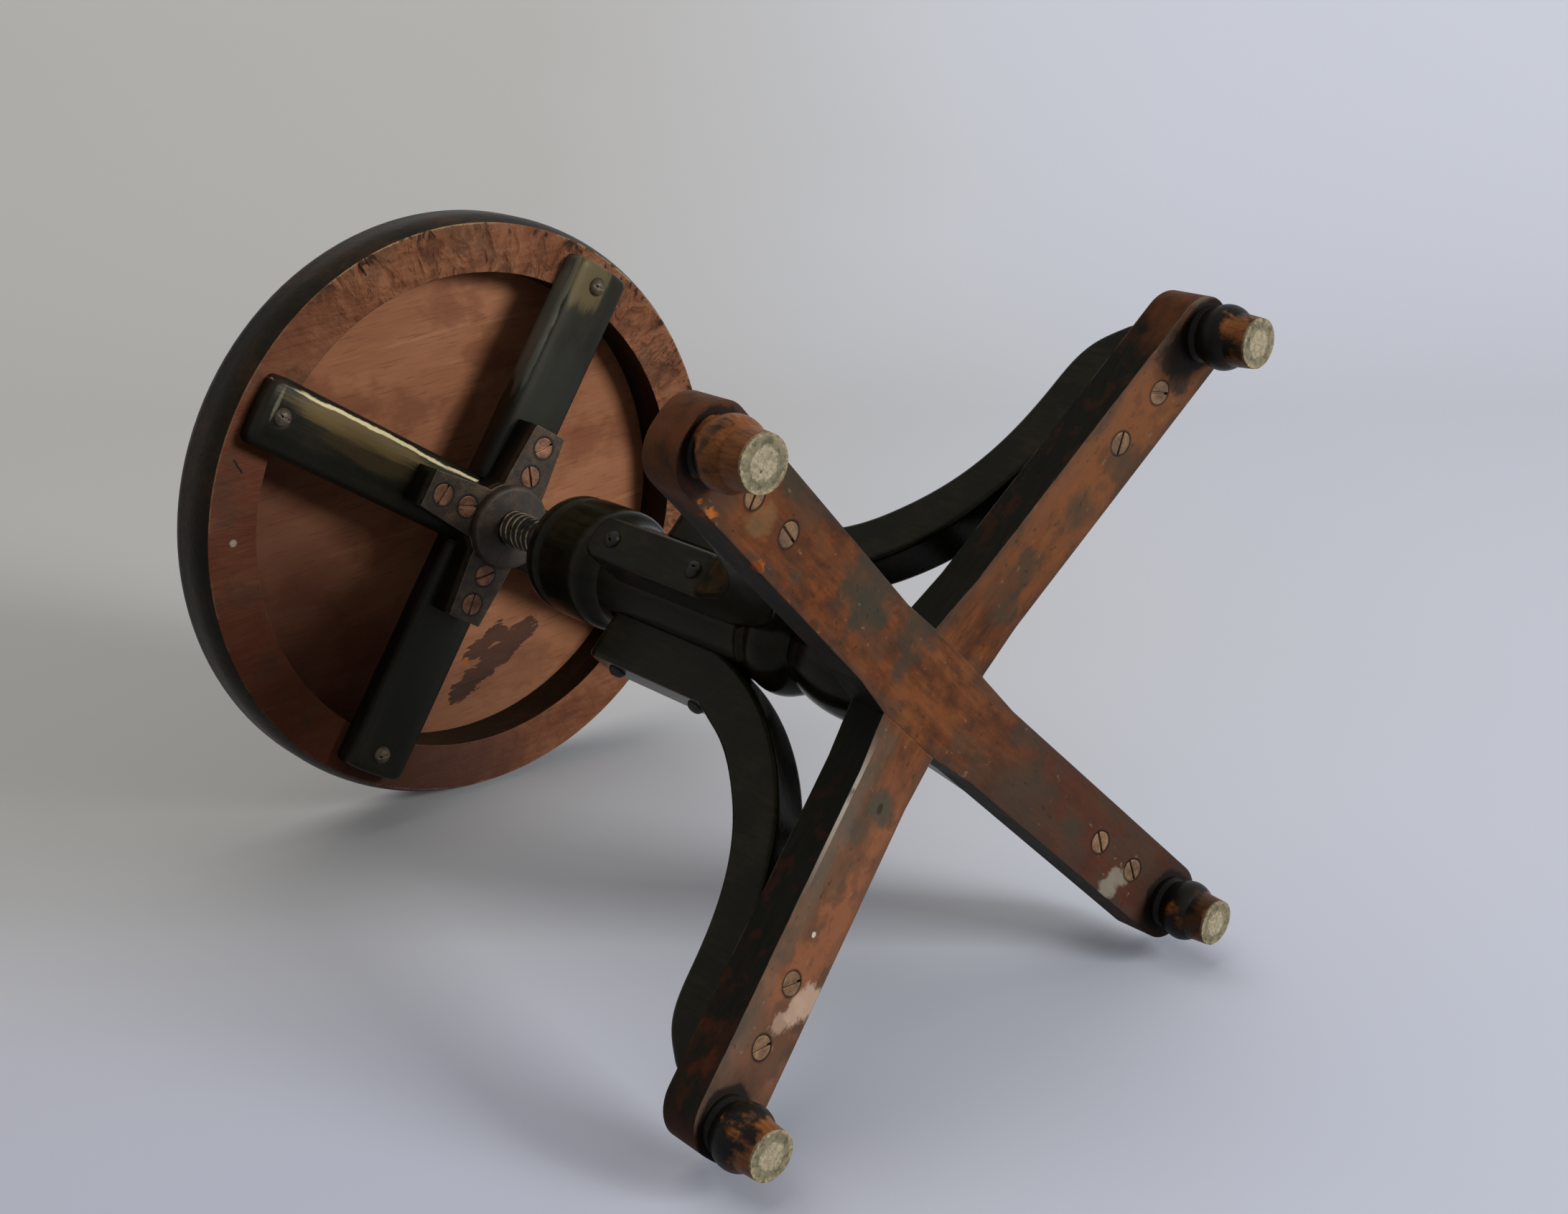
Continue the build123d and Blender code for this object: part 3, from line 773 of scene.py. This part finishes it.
# %% The cross bar's marks
pale_pink = shade(186, 156, 134)
cross_tints = [
    (-0.02, -0.07, 0.85, shade(142, 90, 62)),
    (-0.14, -0.19, 0.4, shade(120, 88, 74)),
    (0.03, 0.12, 0.75, shade(134, 84, 52)),
]
cross_greys = [
    ((-0.0038, -0.0579, 0.0517), 0.0085, 0.75),
    ((0.0035, -0.0735, 0.0495), 0.0085, 0.6),
    ((0.0065, -0.0938, 0.0467), 0.0105, 0.6),
    ((0.0095, -0.17, 0.036), 0.011, 0.5),
    ((0.0, 0.0724, 0.0497), 0.0085, 0.75),
    ((-0.0062, 0.0526, 0.0525), 0.008, 0.75),
    ((-0.0062, 0.1085, 0.0446), 0.0105, 0.7),
    ((-0.0064, 0.14, 0.0402), 0.008, 0.6),
]
cross_scuffs_and_shadows = [
    ((-0.0148, -0.1474, 0.0392), 0.0078, 0.9, pale_pink),
    ((-0.0085, -0.1535, 0.0383), 0.0062, 0.85, pale_pink),
    ((-0.0044, -0.1611, 0.0372), 0.0056, 0.6, pale_pink),
    ((-0.0038, -0.0579, 0.0517), 0.0066, 0.6, shade(72, 71, 58)),
    ((-0.0038, -0.0579, 0.0517), 0.0022, 0.8, shade(38, 34, 28)),
    ((0.0042, -0.0738, 0.0495), 0.0058, 0.4, shade(76, 70, 56)),
    ((0.0005, -0.122, 0.0427), 0.0012, 1.0, shade(206, 190, 172)),
    # Painted shadow of the foot at this end: the two dark patches beside it.
    ((0.005, 0.1945, 0.0325), 0.0125, 0.75, shade(28, 26, 22)),
    ((-0.003, 0.188, 0.0333), 0.008, 0.65, shade(30, 27, 22)),
    ((0.0145, 0.2185, 0.0292), 0.0055, 0.7, shade(134, 126, 110)),
]
cross_edge = shade(156, 138, 120)
cross_grain = math.pi / 2
worn_cross = bar_finish(
    "worn_bar_cross", cross_grain, cross_tints, cross_greys, cross_scuffs_and_shadows, [], cross_edge, band=0.7
)
worn_cross.put_on(node["base_bar_cross"])

# %% [markdown]
# ## Feet
#
# The feet are turned from lighter wood and stained black. Years of sliding have
# rubbed the stain off the lower part down to orange-brown wood, and the ends
# are bare and pale, with the mark of the lathe's centre. A finish for each foot
# would say nearly the same four times. All four stand the same way, so one
# finish finds the middle of each from the larger and the smaller of its two
# distances, and only how much stain is left differs from arm to arm.

# %% Stain rubbed off the feet
worn_height = 0.0165
foot = Finish("turned_foot", Specular_IOR_Level=0.16)
foot_grain = foot.cloud(700, (1, 1, 9), detail=4)
foot_mottle = foot.cloud(88, (1, 1, 1.4), detail=4, rough=0.55)
foot_fine = foot.cloud(420, detail=6, rough=0.7)
stained = foot.ramp(foot_grain, [(0.3, shade(13, 13, 11)), (0.7, shade(28, 24, 18))])
brown = foot.ramp(
    foot_grain * 0.5 + foot_mottle * 0.5,
    [(0.34, shade(92, 49, 23)), (0.66, shade(156, 98, 52))],
)
by_arm = (
    foot.x.step(0.0, 0.2) * 0.15
    - foot.x.step(0.0, -0.2) * 0.1
    - foot.y.step(0.0, 0.2) * 0.13
    - foot.y.step(0.0, -0.2) * 0.07
)
low_down = (worn_height - foot.z) * 14.0
rubbed_low = (foot_mottle + low_down + by_arm + (foot_fine - 0.5) * 0.1).step(0.46, 0.6)
stain_left = foot.cloud(46, detail=3, rough=0.5).step(0.53, 0.6)
foot_side = foot.mix(rubbed_low, stained, brown)
foot_side = foot.mix(stain_left * 0.75, foot_side, shade(28, 26, 19))
foot.tell("sides of the feet")

# %% Bare ends of the feet
centre_mark = (0.0068, 0.006)
end_rim = (0.0096, 0.0112)
end_height = (0.0014, 0.0006)
foot_out = foot.x.size().at_least(foot.y.size()) - foot_reach
foot_aside = foot.x.size().at_most(foot.y.size())
from_middle = foot_out.long_side(foot_aside)
end_cloud = foot.cloud(240, detail=5, rough=0.6)
end_wood = foot.ramp(
    end_cloud,
    [(0.4, shade(104, 100, 80)), (0.52, shade(136, 128, 103)), (0.64, shade(154, 142, 114))],
)
pale_middle = (from_middle + (end_cloud - 0.5) * 0.009).step(*centre_mark)
middle_tone = foot.ramp(foot_fine, [(0.4, shade(154, 141, 115)), (0.6, shade(194, 179, 150))])
worn_rim = (from_middle + (foot_fine - 0.5) * 0.007).step(*end_rim)
rim_tone = foot.ramp(foot_fine, [(0.38, shade(118, 104, 78)), (0.6, shade(186, 168, 134))])
dirt_spots = end_cloud.step(0.36, 0.31)
end_wood = foot.over(
    end_wood,
    [(pale_middle, middle_tone), (worn_rim, rim_tone), (dirt_spots * 0.8, shade(56, 58, 48))],
)
at_end = (foot.z + (foot_fine - 0.5) * 0.002).step(*end_height)
foot.wear(
    foot.mix(at_end, foot_side, end_wood),
    0.36 + at_end * 0.5 + foot_mottle * 0.12,
    foot_grain * 0.2 + foot_mottle * 0.4 + foot_fine * (0.15 + at_end * 0.9),
    depth=0.0007,
    round_edges=0.0008,
)
foot.put_on(*[node[f"foot_{i}"] for i in range(1, 5)])

# %% [markdown]
# ## Legs and column
#
# Legs and column are stained black all through the grain and polished. The
# stain is not a pure black: it is a very dark olive brown, with a little brown
# on the edges where hands and shoes have rubbed it. A clear coat over black
# would give the gloss but make it look like plastic, so the polish is one
# surface whose sheen is tinted warm and goes dull and bright in clouds.


# %% Black polish
def black_polish(name, stretch, worn=0.5):
    """Polished black stain; stretch is the way of the grain."""
    wood = Finish(name, Specular_IOR_Level=0.13, Specular_Tint=(1.0, 0.95, 0.76, 1.0))
    grain = wood.cloud(360, stretch, detail=5, rough=0.6)
    haze = wood.cloud(34, detail=5, rough=0.6)
    fine = wood.cloud(900, detail=2)
    skin = wood.ramp(
        grain * 0.4 + haze * 0.6,
        [(0.35, shade(14, 14, 8)), (0.5, shade(26, 25, 15)), (0.68, shade(44, 40, 23))],
    )
    edge = wood.edges(0.0012) * wood.cloud(70, detail=4).step(0.4, 0.62)
    wood.wear(
        wood.mix(edge * worn, skin, shade(74, 60, 40)),
        0.1 + haze * 0.14 + grain * 0.06,
        grain * 0.6 + haze * 0.3 + fine * 0.1,
        depth=0.00014,
        round_edges=0.0012,
    )
    return wood


black_polish("leg_polish", (1, 1, 5)).put_on(*[node[f"leg_{i}"] for i in range(1, 5)])
black_polish("column_polish", (1, 1, 6), worn=0.35).put_on(node["column"])

# %% [markdown]
# ## The cross under the seat
#
# Two half-lapped bars of the same black wood, rubbed through to an olive gold
# in patches and most of all near the ends, where hands take hold of the seat.
# Part of that gold is painted sheen, and the golden edges are worn wood and
# painted highlight together. One arm has a painted highlight, a bright thin line
# just inside its edge, and a pale painted highlight on its rounded end. An arm of
# the other bar has a painted highlight along one edge, and its other arm is
# painted blue-black as a painted reflection. The block between the bars and the
# iron plate is nearly black. The rubbed and painted places could be left to
# noise alone, but they sit where hands reach and light catches, so each is an
# ellipse in the bar's own lengths, and the grain makes its border ragged. The
# bars' faces are slightly pillowed, which is a swelling in the bump. The gaps
# round the screws are painted shade.

# %% Rubbed black wood with painted highlights
cross_angle = math.radians(-11.5)
cross_half_width = 0.02
cross_screw_reach = 0.1503
cross_screw_gap_shade = (0.0064, 0.0048)


def turned(first, second, angle):
    """Two coordinates, measured along axes that are turned by an angle."""
    ahead = first * math.cos(angle) + second * math.sin(angle)
    sideways = second * math.cos(angle) - first * math.sin(angle)
    return ahead, sideways


def rubbed_black_with_sheen(name, angle, tones, worn, rubs_and_highlights=(), pillowed=0.0):
    """Black stained wood: grain's angle, tones, golden edges both worn and painted
    highlight, rubbed places and painted highlights, pillow, painted screw shade.
    """
    wood = Finish(name, Specular_IOR_Level=0.22, Specular_Tint=(1.0, 0.92, 0.72, 1.0))
    along, across = turned(wood.x, wood.y, angle)
    grain = wood.cloud(420, (12, 1, 1), angle, detail=5, rough=0.62)
    streak = wood.cloud(100, (7, 1, 1), angle, detail=4)
    haze = wood.cloud(26, (1.8, 1, 1), angle, detail=6, rough=0.62)
    skin = wood.ramp(
        grain * 0.2 + streak * 0.25 + haze * 0.55, list(zip((0.38, 0.5, 0.64), tones))
    )
    ragged = (haze - 0.5) * 1.8 + (streak - 0.5) * 2.4 + (grain - 0.5) * 1.6
    # Rubbed places and painted highlights, each a ragged ellipse along the bar.
    for middle, aside, half_length, half_width, share, tone in rubs_and_highlights:
        sideways = across - aside + (haze - 0.5) * 0.009
        reach = ((along - middle) / half_length) ** 2.0 + (sideways / half_width) ** 2.0
        skin = wood.mix((reach + ragged).step(1.3, 0.3) * share, skin, tone)
    # Golden edges: worn wood together with painted highlight.
    edge = wood.edges(0.0025) * wood.cloud(60, detail=4).step(0.36, 0.58)
    # Painted shade in the gap round each screw head.
    from_screw = (along.size() - cross_screw_reach).long_side(across)
    round_screw_shade = from_screw.step(*cross_screw_gap_shade)
    skin = wood.over(
        skin, [(edge * worn, shade(126, 108, 72)), (round_screw_shade * 0.9, shade(6, 5, 4))]
    )
    wood.wear(
        skin,
        0.2 + haze * 0.2 + streak * 0.08,
        grain * 0.6 + haze * 0.4,
        depth=0.0002,
        round_edges=0.006,
        swell=(across.size() / cross_half_width) ** 4.0 * -pillowed,
    )
    return wood


# %% Cross and block
olive = (shade(9, 10, 8), shade(17, 17, 11), shade(36, 32, 19))
near_black = (shade(7, 7, 5), shade(12, 12, 9), shade(20, 19, 13))
# Long bar: rubbed gold with painted sheen twice, a painted highlight as a thin line inside the
# upper edge, a painted highlight on the rounded end, and a rubbed place.
long_rubs_and_highlights = [
    (0.105, 0.0115, 0.056, 0.007, 0.6, shade(124, 102, 60)),
    (0.092, 0.003, 0.04, 0.009, 0.35, shade(78, 60, 34)),
    (0.086, 0.017, 0.076, 0.0012, 0.95, shade(238, 220, 172)),
    (0.1565, 0.007, 0.0014, 0.0125, 0.45, shade(142, 138, 112)),
    (-0.13, 0.004, 0.03, 0.013, 0.4, shade(112, 92, 54)),
]
# Short bar: a painted highlight along one edge, rubbed gold with painted sheen near the end, a
# greyer patch, and the other arm painted blue-black as a painted reflection.
short_rubs_and_highlights = [
    (0.12, -0.0195, 0.045, 0.0022, 0.5, shade(140, 140, 126)),
    (0.152, -0.005, 0.022, 0.014, 0.6, shade(118, 102, 66)),
    (0.085, 0.0, 0.03, 0.02, 0.5, shade(40, 42, 36)),
    (-0.1, 0.0, 0.07, 0.03, 0.75, shade(9, 12, 12)),
]
short_angle = cross_angle + math.pi / 2
pillow = 0.003
cross_long = rubbed_black_with_sheen("cross_olive_long", cross_angle, olive, 0.5, long_rubs_and_highlights, pillow)
cross_long.put_on(node["seat_cross_long"])
cross_short = rubbed_black_with_sheen("cross_olive_short", short_angle, olive, 0.5, short_rubs_and_highlights, pillow)
cross_short.put_on(node["seat_cross_short"])
rubbed_black_with_sheen("block_black", cross_angle, near_black, 0.25).put_on(node["plate_block"])

# %% [markdown]
# ## The seat ring
#
# The seat is a ring with a thinner panel let into it. Underneath, the ring is
# bare red-brown wood. One side is smooth and darker, partly darker wood and
# partly painted shade, and the other is torn in short strokes towards the
# middle, where a blunt turning tool chattered across the grain: dents, ridges,
# and dark nicks at the outer edge, where a pale line also marks the rim. The rim
# and the top are stained black-brown.
#
# The torn strokes are far too many and too shallow to model, so they are bump.
# Their noise isn't laid on X and Y but on the ring unrolled, the way round it
# and the distance from its middle, so that every stroke points at the middle.

# %% Patterns of the ring
ring_face = 0.4333
bare_below = (0.4375, 0.436)
middle_of_band = 0.157
grain_turn = math.radians(130)
ring = Finish("seat_ring_wood", Specular_IOR_Level=0.12, Specular_Tint=(1.0, 0.9, 0.74, 1.0))
ring_radius = ring.x.long_side(ring.y)
round_angle = ring.add("ShaderNodeMath", {"operation": "ARCTAN2"}, {0: ring.y, 1: ring.x})
unrolled = ring.add(
    "ShaderNodeCombineXYZ", None, {0: round_angle * middle_of_band, 1: ring_radius, 2: ring.z}
)
ring_grain = ring.cloud(380, (9, 1, 1), grain_turn, detail=5, rough=0.62)
ring_streak = ring.cloud(64, (4, 1, 1), grain_turn, detail=5)
ring_torn = ring.cloud(90, (1, 1.7, 1), detail=3, rough=0.5, swirl=1.4, place=unrolled)
ring_fibre = ring.cloud(180, (1, 3.6, 1), detail=5, rough=0.62, swirl=0.8, place=unrolled)
ring_haze = ring.cloud(30, detail=6, rough=0.66)
ring_bare = ring.facing_down(0.7, 0.92) * ring.z.step(*bare_below)
torn_side = (ring.y + (ring_haze - 0.5) * 0.12).step(0.0, 0.07) * ring_bare
ring.tell("patterns of the ring")

# %% Bare wood of the ring
near_rim = (0.162, 0.168)
outer_rim = (0.1688, 0.1697)
bare_ring = ring.ramp(
    ring_streak * 0.35 + ring_grain * 0.2 + ring_torn * 0.15 + ring_haze * 0.3,
    [(0.36, shade(92, 52, 34)), (0.5, shade(129, 81, 55)), (0.64, shade(156, 109, 79))],
)
# Darker on one side: partly darker wood, partly painted shade.
dark_and_shaded_side = (ring.y - ring.x * 0.3 + (ring_haze - 0.5) * 0.06).step(0.03, -0.12)
greyed = ring.spot((-0.08, -0.135, ring_face), 0.06, ring_haze, soft=0.5)
crack = (ring_fibre - 0.52).size().step(0.022, 0.004) * ring.cloud(34, detail=3).step(0.5, 0.6)
dent = ring_torn.step(0.46, 0.36) * torn_side
ridge = ring_torn.step(0.56, 0.64) * torn_side
at_rim = (ring_radius + (ring_fibre - 0.5) * 0.0024).step(*outer_rim)
rim_line = at_rim * ring_haze.step(0.42, 0.56) * (0.2 + torn_side * 0.6)
nick = ring_torn.step(0.44, 0.39) * ring_radius.step(*near_rim) * torn_side
bare_ring = ring.over(
    bare_ring,
    [
        (dark_and_shaded_side * 0.75, shade(78, 36, 24)),
        (greyed * 0.55, shade(62, 46, 40)),
        (ring_haze.step(0.53, 0.62) * 0.5, shade(66, 46, 36)),
        (crack * (0.1 + torn_side * 0.7), shade(42, 26, 18)),
        (dent * 0.42, shade(72, 41, 29)),
        (ridge * 0.16, shade(164, 112, 80)),
        (rim_line, shade(170, 142, 106)),
        (nick * 0.8, shade(34, 22, 16)),
    ],
)
ring.tell("bare wood of the ring")

# %% Splits, rim and wear of the ring
splits = [(0.1528, 0.0629, ring_face), (0.1543, 0.0681, ring_face), (0.145, -0.0637, ring_face)]
for where in splits:
    split_x, split_y, _ = ring.parts(ring.vector("SUBTRACT", ring.place, where))
    slanted = split_x * 0.3 - split_y + (ring_torn - 0.5) * 0.004
    split = slanted.size().step(0.0009, 0.0002) * split_x.size().step(0.005, 0.0035)
    bare_ring = ring.mix(split, bare_ring, shade(24, 12, 9))
pale_plug = ring.spot((0.1206, -0.098, ring_face), 0.002)
bare_ring = ring.mix(pale_plug, bare_ring, shade(150, 138, 124))
ring_black = ring.ramp(
    ring_grain * 0.3 + ring_haze * 0.7,
    [(0.36, shade(18, 15, 9)), (0.52, shade(30, 24, 15)), (0.64, shade(56, 35, 21))],
)
ring_edge = ring.edges(0.0012) * ring.cloud(50, detail=4).step(0.4, 0.58)
ring_skin = ring.mix(ring_bare, ring_black, bare_ring)
ring_fibres = (ring_grain + ring_fibre) * (0.03 + ring_bare * 0.09)
ring.wear(
    ring.mix(ring_edge * 0.6, ring_skin, shade(132, 104, 78)),
    0.34 + ring_bare * 0.2 + ring_haze * 0.12,
    ring_fibres + ring_torn * torn_side * 0.9 + ring_haze * 0.2,
    depth=0.0044,
    round_edges=0.001,
)
ring.put_on(node["seat_ring"])

# %% [markdown]
# ## The seat panel
#
# The panel is a warmer, lighter brown than the ring, with grain that runs
# aslant, pale streaks and fine dark pores, and one side is darker with painted
# shade. Its ragged dark stain could be a plain spot, but the real one is two
# strokes side by side, so it is two long ovals, and a noise along the grain
# tears their borders. The panel's top is what one sits on, and is polished dark
# like the rim.

# %% Bare wood of the panel
panel_face = 0.459
panel = Finish("seat_panel_wood", Specular_IOR_Level=0.15)
panel_grain = panel.cloud(420, (12, 1, 1), grain_turn, detail=5, rough=0.6)
panel_streak = panel.cloud(46, (5, 1, 1), grain_turn, detail=5, swirl=0.4)
panel_haze = panel.cloud(16, (1.6, 1, 1), grain_turn, detail=6, rough=0.62)
bare_panel = panel.ramp(
    panel_streak * 0.4 + panel_grain * 0.15 + panel_haze * 0.45,
    [(0.34, shade(132, 82, 54)), (0.5, shade(154, 100, 68)), (0.68, shade(172, 118, 82))],
)
pale_streak = panel.cloud(120, (14, 1, 1), grain_turn, detail=2).step(0.62, 0.7)
pore = panel.cloud(760, (16, 1, 1), grain_turn, detail=3, rough=0.6).step(0.56, 0.68)
red_cloud = panel.cloud(22, (1.3, 1, 1), grain_turn, detail=5, rough=0.6).step(0.5, 0.62)
# Painted shade: one side of the panel darker.
panel_painted_shade = (panel.x * 0.35 - panel.y + (panel_haze - 0.5) * 0.06).step(0.02, 0.12)
dull_patch = panel.spot((-0.1, -0.075, panel_face), 0.045, panel_haze, soft=0.6)
bare_panel = panel.over(
    bare_panel,
    [
        (pale_streak * 0.2, shade(198, 146, 102)),
        (pore * 0.4, shade(92, 52, 34)),
        (red_cloud * 0.55, shade(112, 62, 38)),
        (panel_painted_shade * 0.68, shade(74, 37, 27)),
        (dull_patch * 0.4, shade(98, 68, 50)),
    ],
)
panel.tell("bare wood of the panel")

# %% The stain on the panel
stain_slant = math.radians(16)
jag = panel.cloud(210, (3.5, 1, 1), grain_turn, detail=4, rough=0.7)


def stroke(middle_x, middle_y, half_length, half_width):
    """One long ragged oval of the stain, aslant."""
    across, along = turned(panel.x - middle_x, panel.y - middle_y, stain_slant)
    reach = (across / half_width) ** 2.0 + (along / half_length) ** 4.0
    return (reach + (jag - 0.5) * 4.2).step(1.05, 0.9)


stain = stroke(-0.0885, -0.0585, 0.038, 0.0078).at_least(stroke(-0.0752, -0.054, 0.0175, 0.0052))
stain_tone = panel.ramp(panel_streak, [(0.42, shade(40, 28, 23)), (0.58, shade(68, 42, 30))])
orange_chip = panel.spot((-0.072, -0.0706, panel_face), 0.0022, jag)
bare_panel = panel.over(bare_panel, [(stain * 0.9, stain_tone), (orange_chip, shade(150, 82, 34))])
panel.tell("stained wood of the panel")

# %% The panel's polished top
polished_above = (0.4605, 0.4625)
panel_top = panel.z.step(*polished_above)
polished = panel.ramp(
    panel_streak * 0.5 + panel_grain * 0.5,
    [(0.36, shade(18, 13, 10)), (0.55, shade(38, 24, 17)), (0.7, shade(60, 36, 23))],
)
panel.wear(
    panel.mix(panel_top, bare_panel, polished),
    0.5 - panel_top * 0.2 + panel_haze * 0.14,
    panel_grain * 0.6 + panel_streak * 0.4,
    depth=0.0004,
)
panel.put_on(node["seat_panel"])

# %% [markdown]
# ## Iron and screws
#
# The plate, its collar and the nut are bare iron that has gone brown-grey, and
# shine only where the edges are rubbed. The oiled screw is nearly black with
# bright crests, worn metal with painted glints on it. The small screws have
# slotted heads: coppery on the plate, golden-brown under the bars, dull
# grey-brown on the cross, and black on the legs, where they were stained over
# with the wood.
#
# A metal that is shiny all over would look new. Each one here is a cloudy mix
# of three dull tones, only partly metallic, with a bright tone on its edges.
# One function makes them all, and adds painted shade in the gaps round the
# plate's screws, and the bright crests, worn metal with painted glints, where a
# metal has them.


# %% Old metal
plate_screw_gap_shade = (0.0081, 0.0069)


def metal(name, tones, bright, dull, shine, rub=0.0009, screws=(), crests=None):
    """Old metal: tones in clouds, bright edges, painted shade in the gaps round
    screws, and bright crests that are worn and carry painted glints.
    """
    iron = Finish(name)
    cloud = iron.cloud(130, detail=6, rough=0.66)
    grit = iron.cloud(900, detail=4)
    skin = iron.ramp(cloud * 0.7 + grit * 0.3, list(zip((0.38, 0.5, 0.62), tones)))
    edge = iron.edges(rub)
    skin = iron.mix(edge * (0.4 + cloud * 0.5), skin, bright)
    # Bright crests: worn metal together with painted glints.
    if crests:
        from_axis = iron.x.long_side(iron.y)
        skin = iron.mix(from_axis.step(*crests) * cloud.step(0.36, 0.6) * 0.8, skin, bright)
    if screws:
        along, across = [way.size() for way in turned(iron.x, iron.y, cross_angle)]
        out, aside = along.at_least(across), along.at_most(across)
        for reach in screws:
            # Painted shade in the gap round each of the plate's screws.
            gap_shade = (out - reach).long_side(aside).step(*plate_screw_gap_shade)
            skin = iron.mix(gap_shade * 0.92, skin, shade(16, 11, 8))
    iron.wear(
        skin,
        dull + cloud * 0.18 - edge * 0.12,
        grit * 0.6 + cloud * 0.4,
        depth=0.00006,
        round_edges=rub,
    )
    iron.join(shine * (0.7 + cloud * 0.4), iron.shader.inputs["Metallic"])
    return iron


# %% Plate, collar, nut and iron screw
plate_tones = (shade(38, 30, 22), shade(60, 47, 34), shade(86, 68, 49))
collar_tones = (shade(36, 28, 20), shade(54, 42, 30), shade(78, 62, 45))
nut_tones = (shade(20, 18, 15), shade(32, 29, 24), shade(48, 43, 36))
rod_tones = (shade(14, 12, 9), shade(24, 20, 15), shade(46, 38, 28))
plate_screws = (0.0313, 0.0496)
crest_radii = (0.0099, 0.0104)
old_plate = metal("old_plate", plate_tones, shade(150, 138, 120), 0.4, 0.6, screws=plate_screws)
old_plate.put_on(node["flange_plate"])
old_collar = metal("old_collar", collar_tones, shade(150, 130, 104), 0.5, 0.2)
old_collar.put_on(node["hub_collar"])
nut_iron = metal("nut_iron_dark", nut_tones, shade(100, 92, 80), 0.42, 0.6)
nut_iron.put_on(node["spindle_nut"], node["nut_screws"])
oiled = metal(
    "screw_oiled", rod_tones, shade(188, 166, 128), 0.26, 0.75, rub=0.0003, crests=crest_radii
)
oiled.put_on(thread)

# %% Small screws
copper_tones = (shade(72, 46, 32), shade(112, 75, 52), shade(150, 106, 78))
grey_tones = (shade(54, 47, 37), shade(80, 70, 56), shade(108, 96, 78))
brown_tones = (shade(80, 57, 37), shade(116, 84, 56), shade(146, 111, 77))
stained_tones = (shade(11, 11, 8), shade(20, 19, 14), shade(36, 33, 25))
small_screws = [
    ("coppery_screw", copper_tones, shade(176, 134, 102), 0.38, 0.7, "flange_screws"),
    ("pale_screw", grey_tones, shade(176, 162, 136), 0.42, 0.6, "cross_screws"),
    ("brown_screw", brown_tones, shade(172, 144, 104), 0.46, 0.4, "base_screws"),
    ("stained_screw", stained_tones, shade(70, 64, 52), 0.34, 0.4, "leg_screws"),
]
for name, tones, bright, dull, shine, screws in small_screws:
    metal(name, tones, bright, dull, shine).put_on(node[screws])
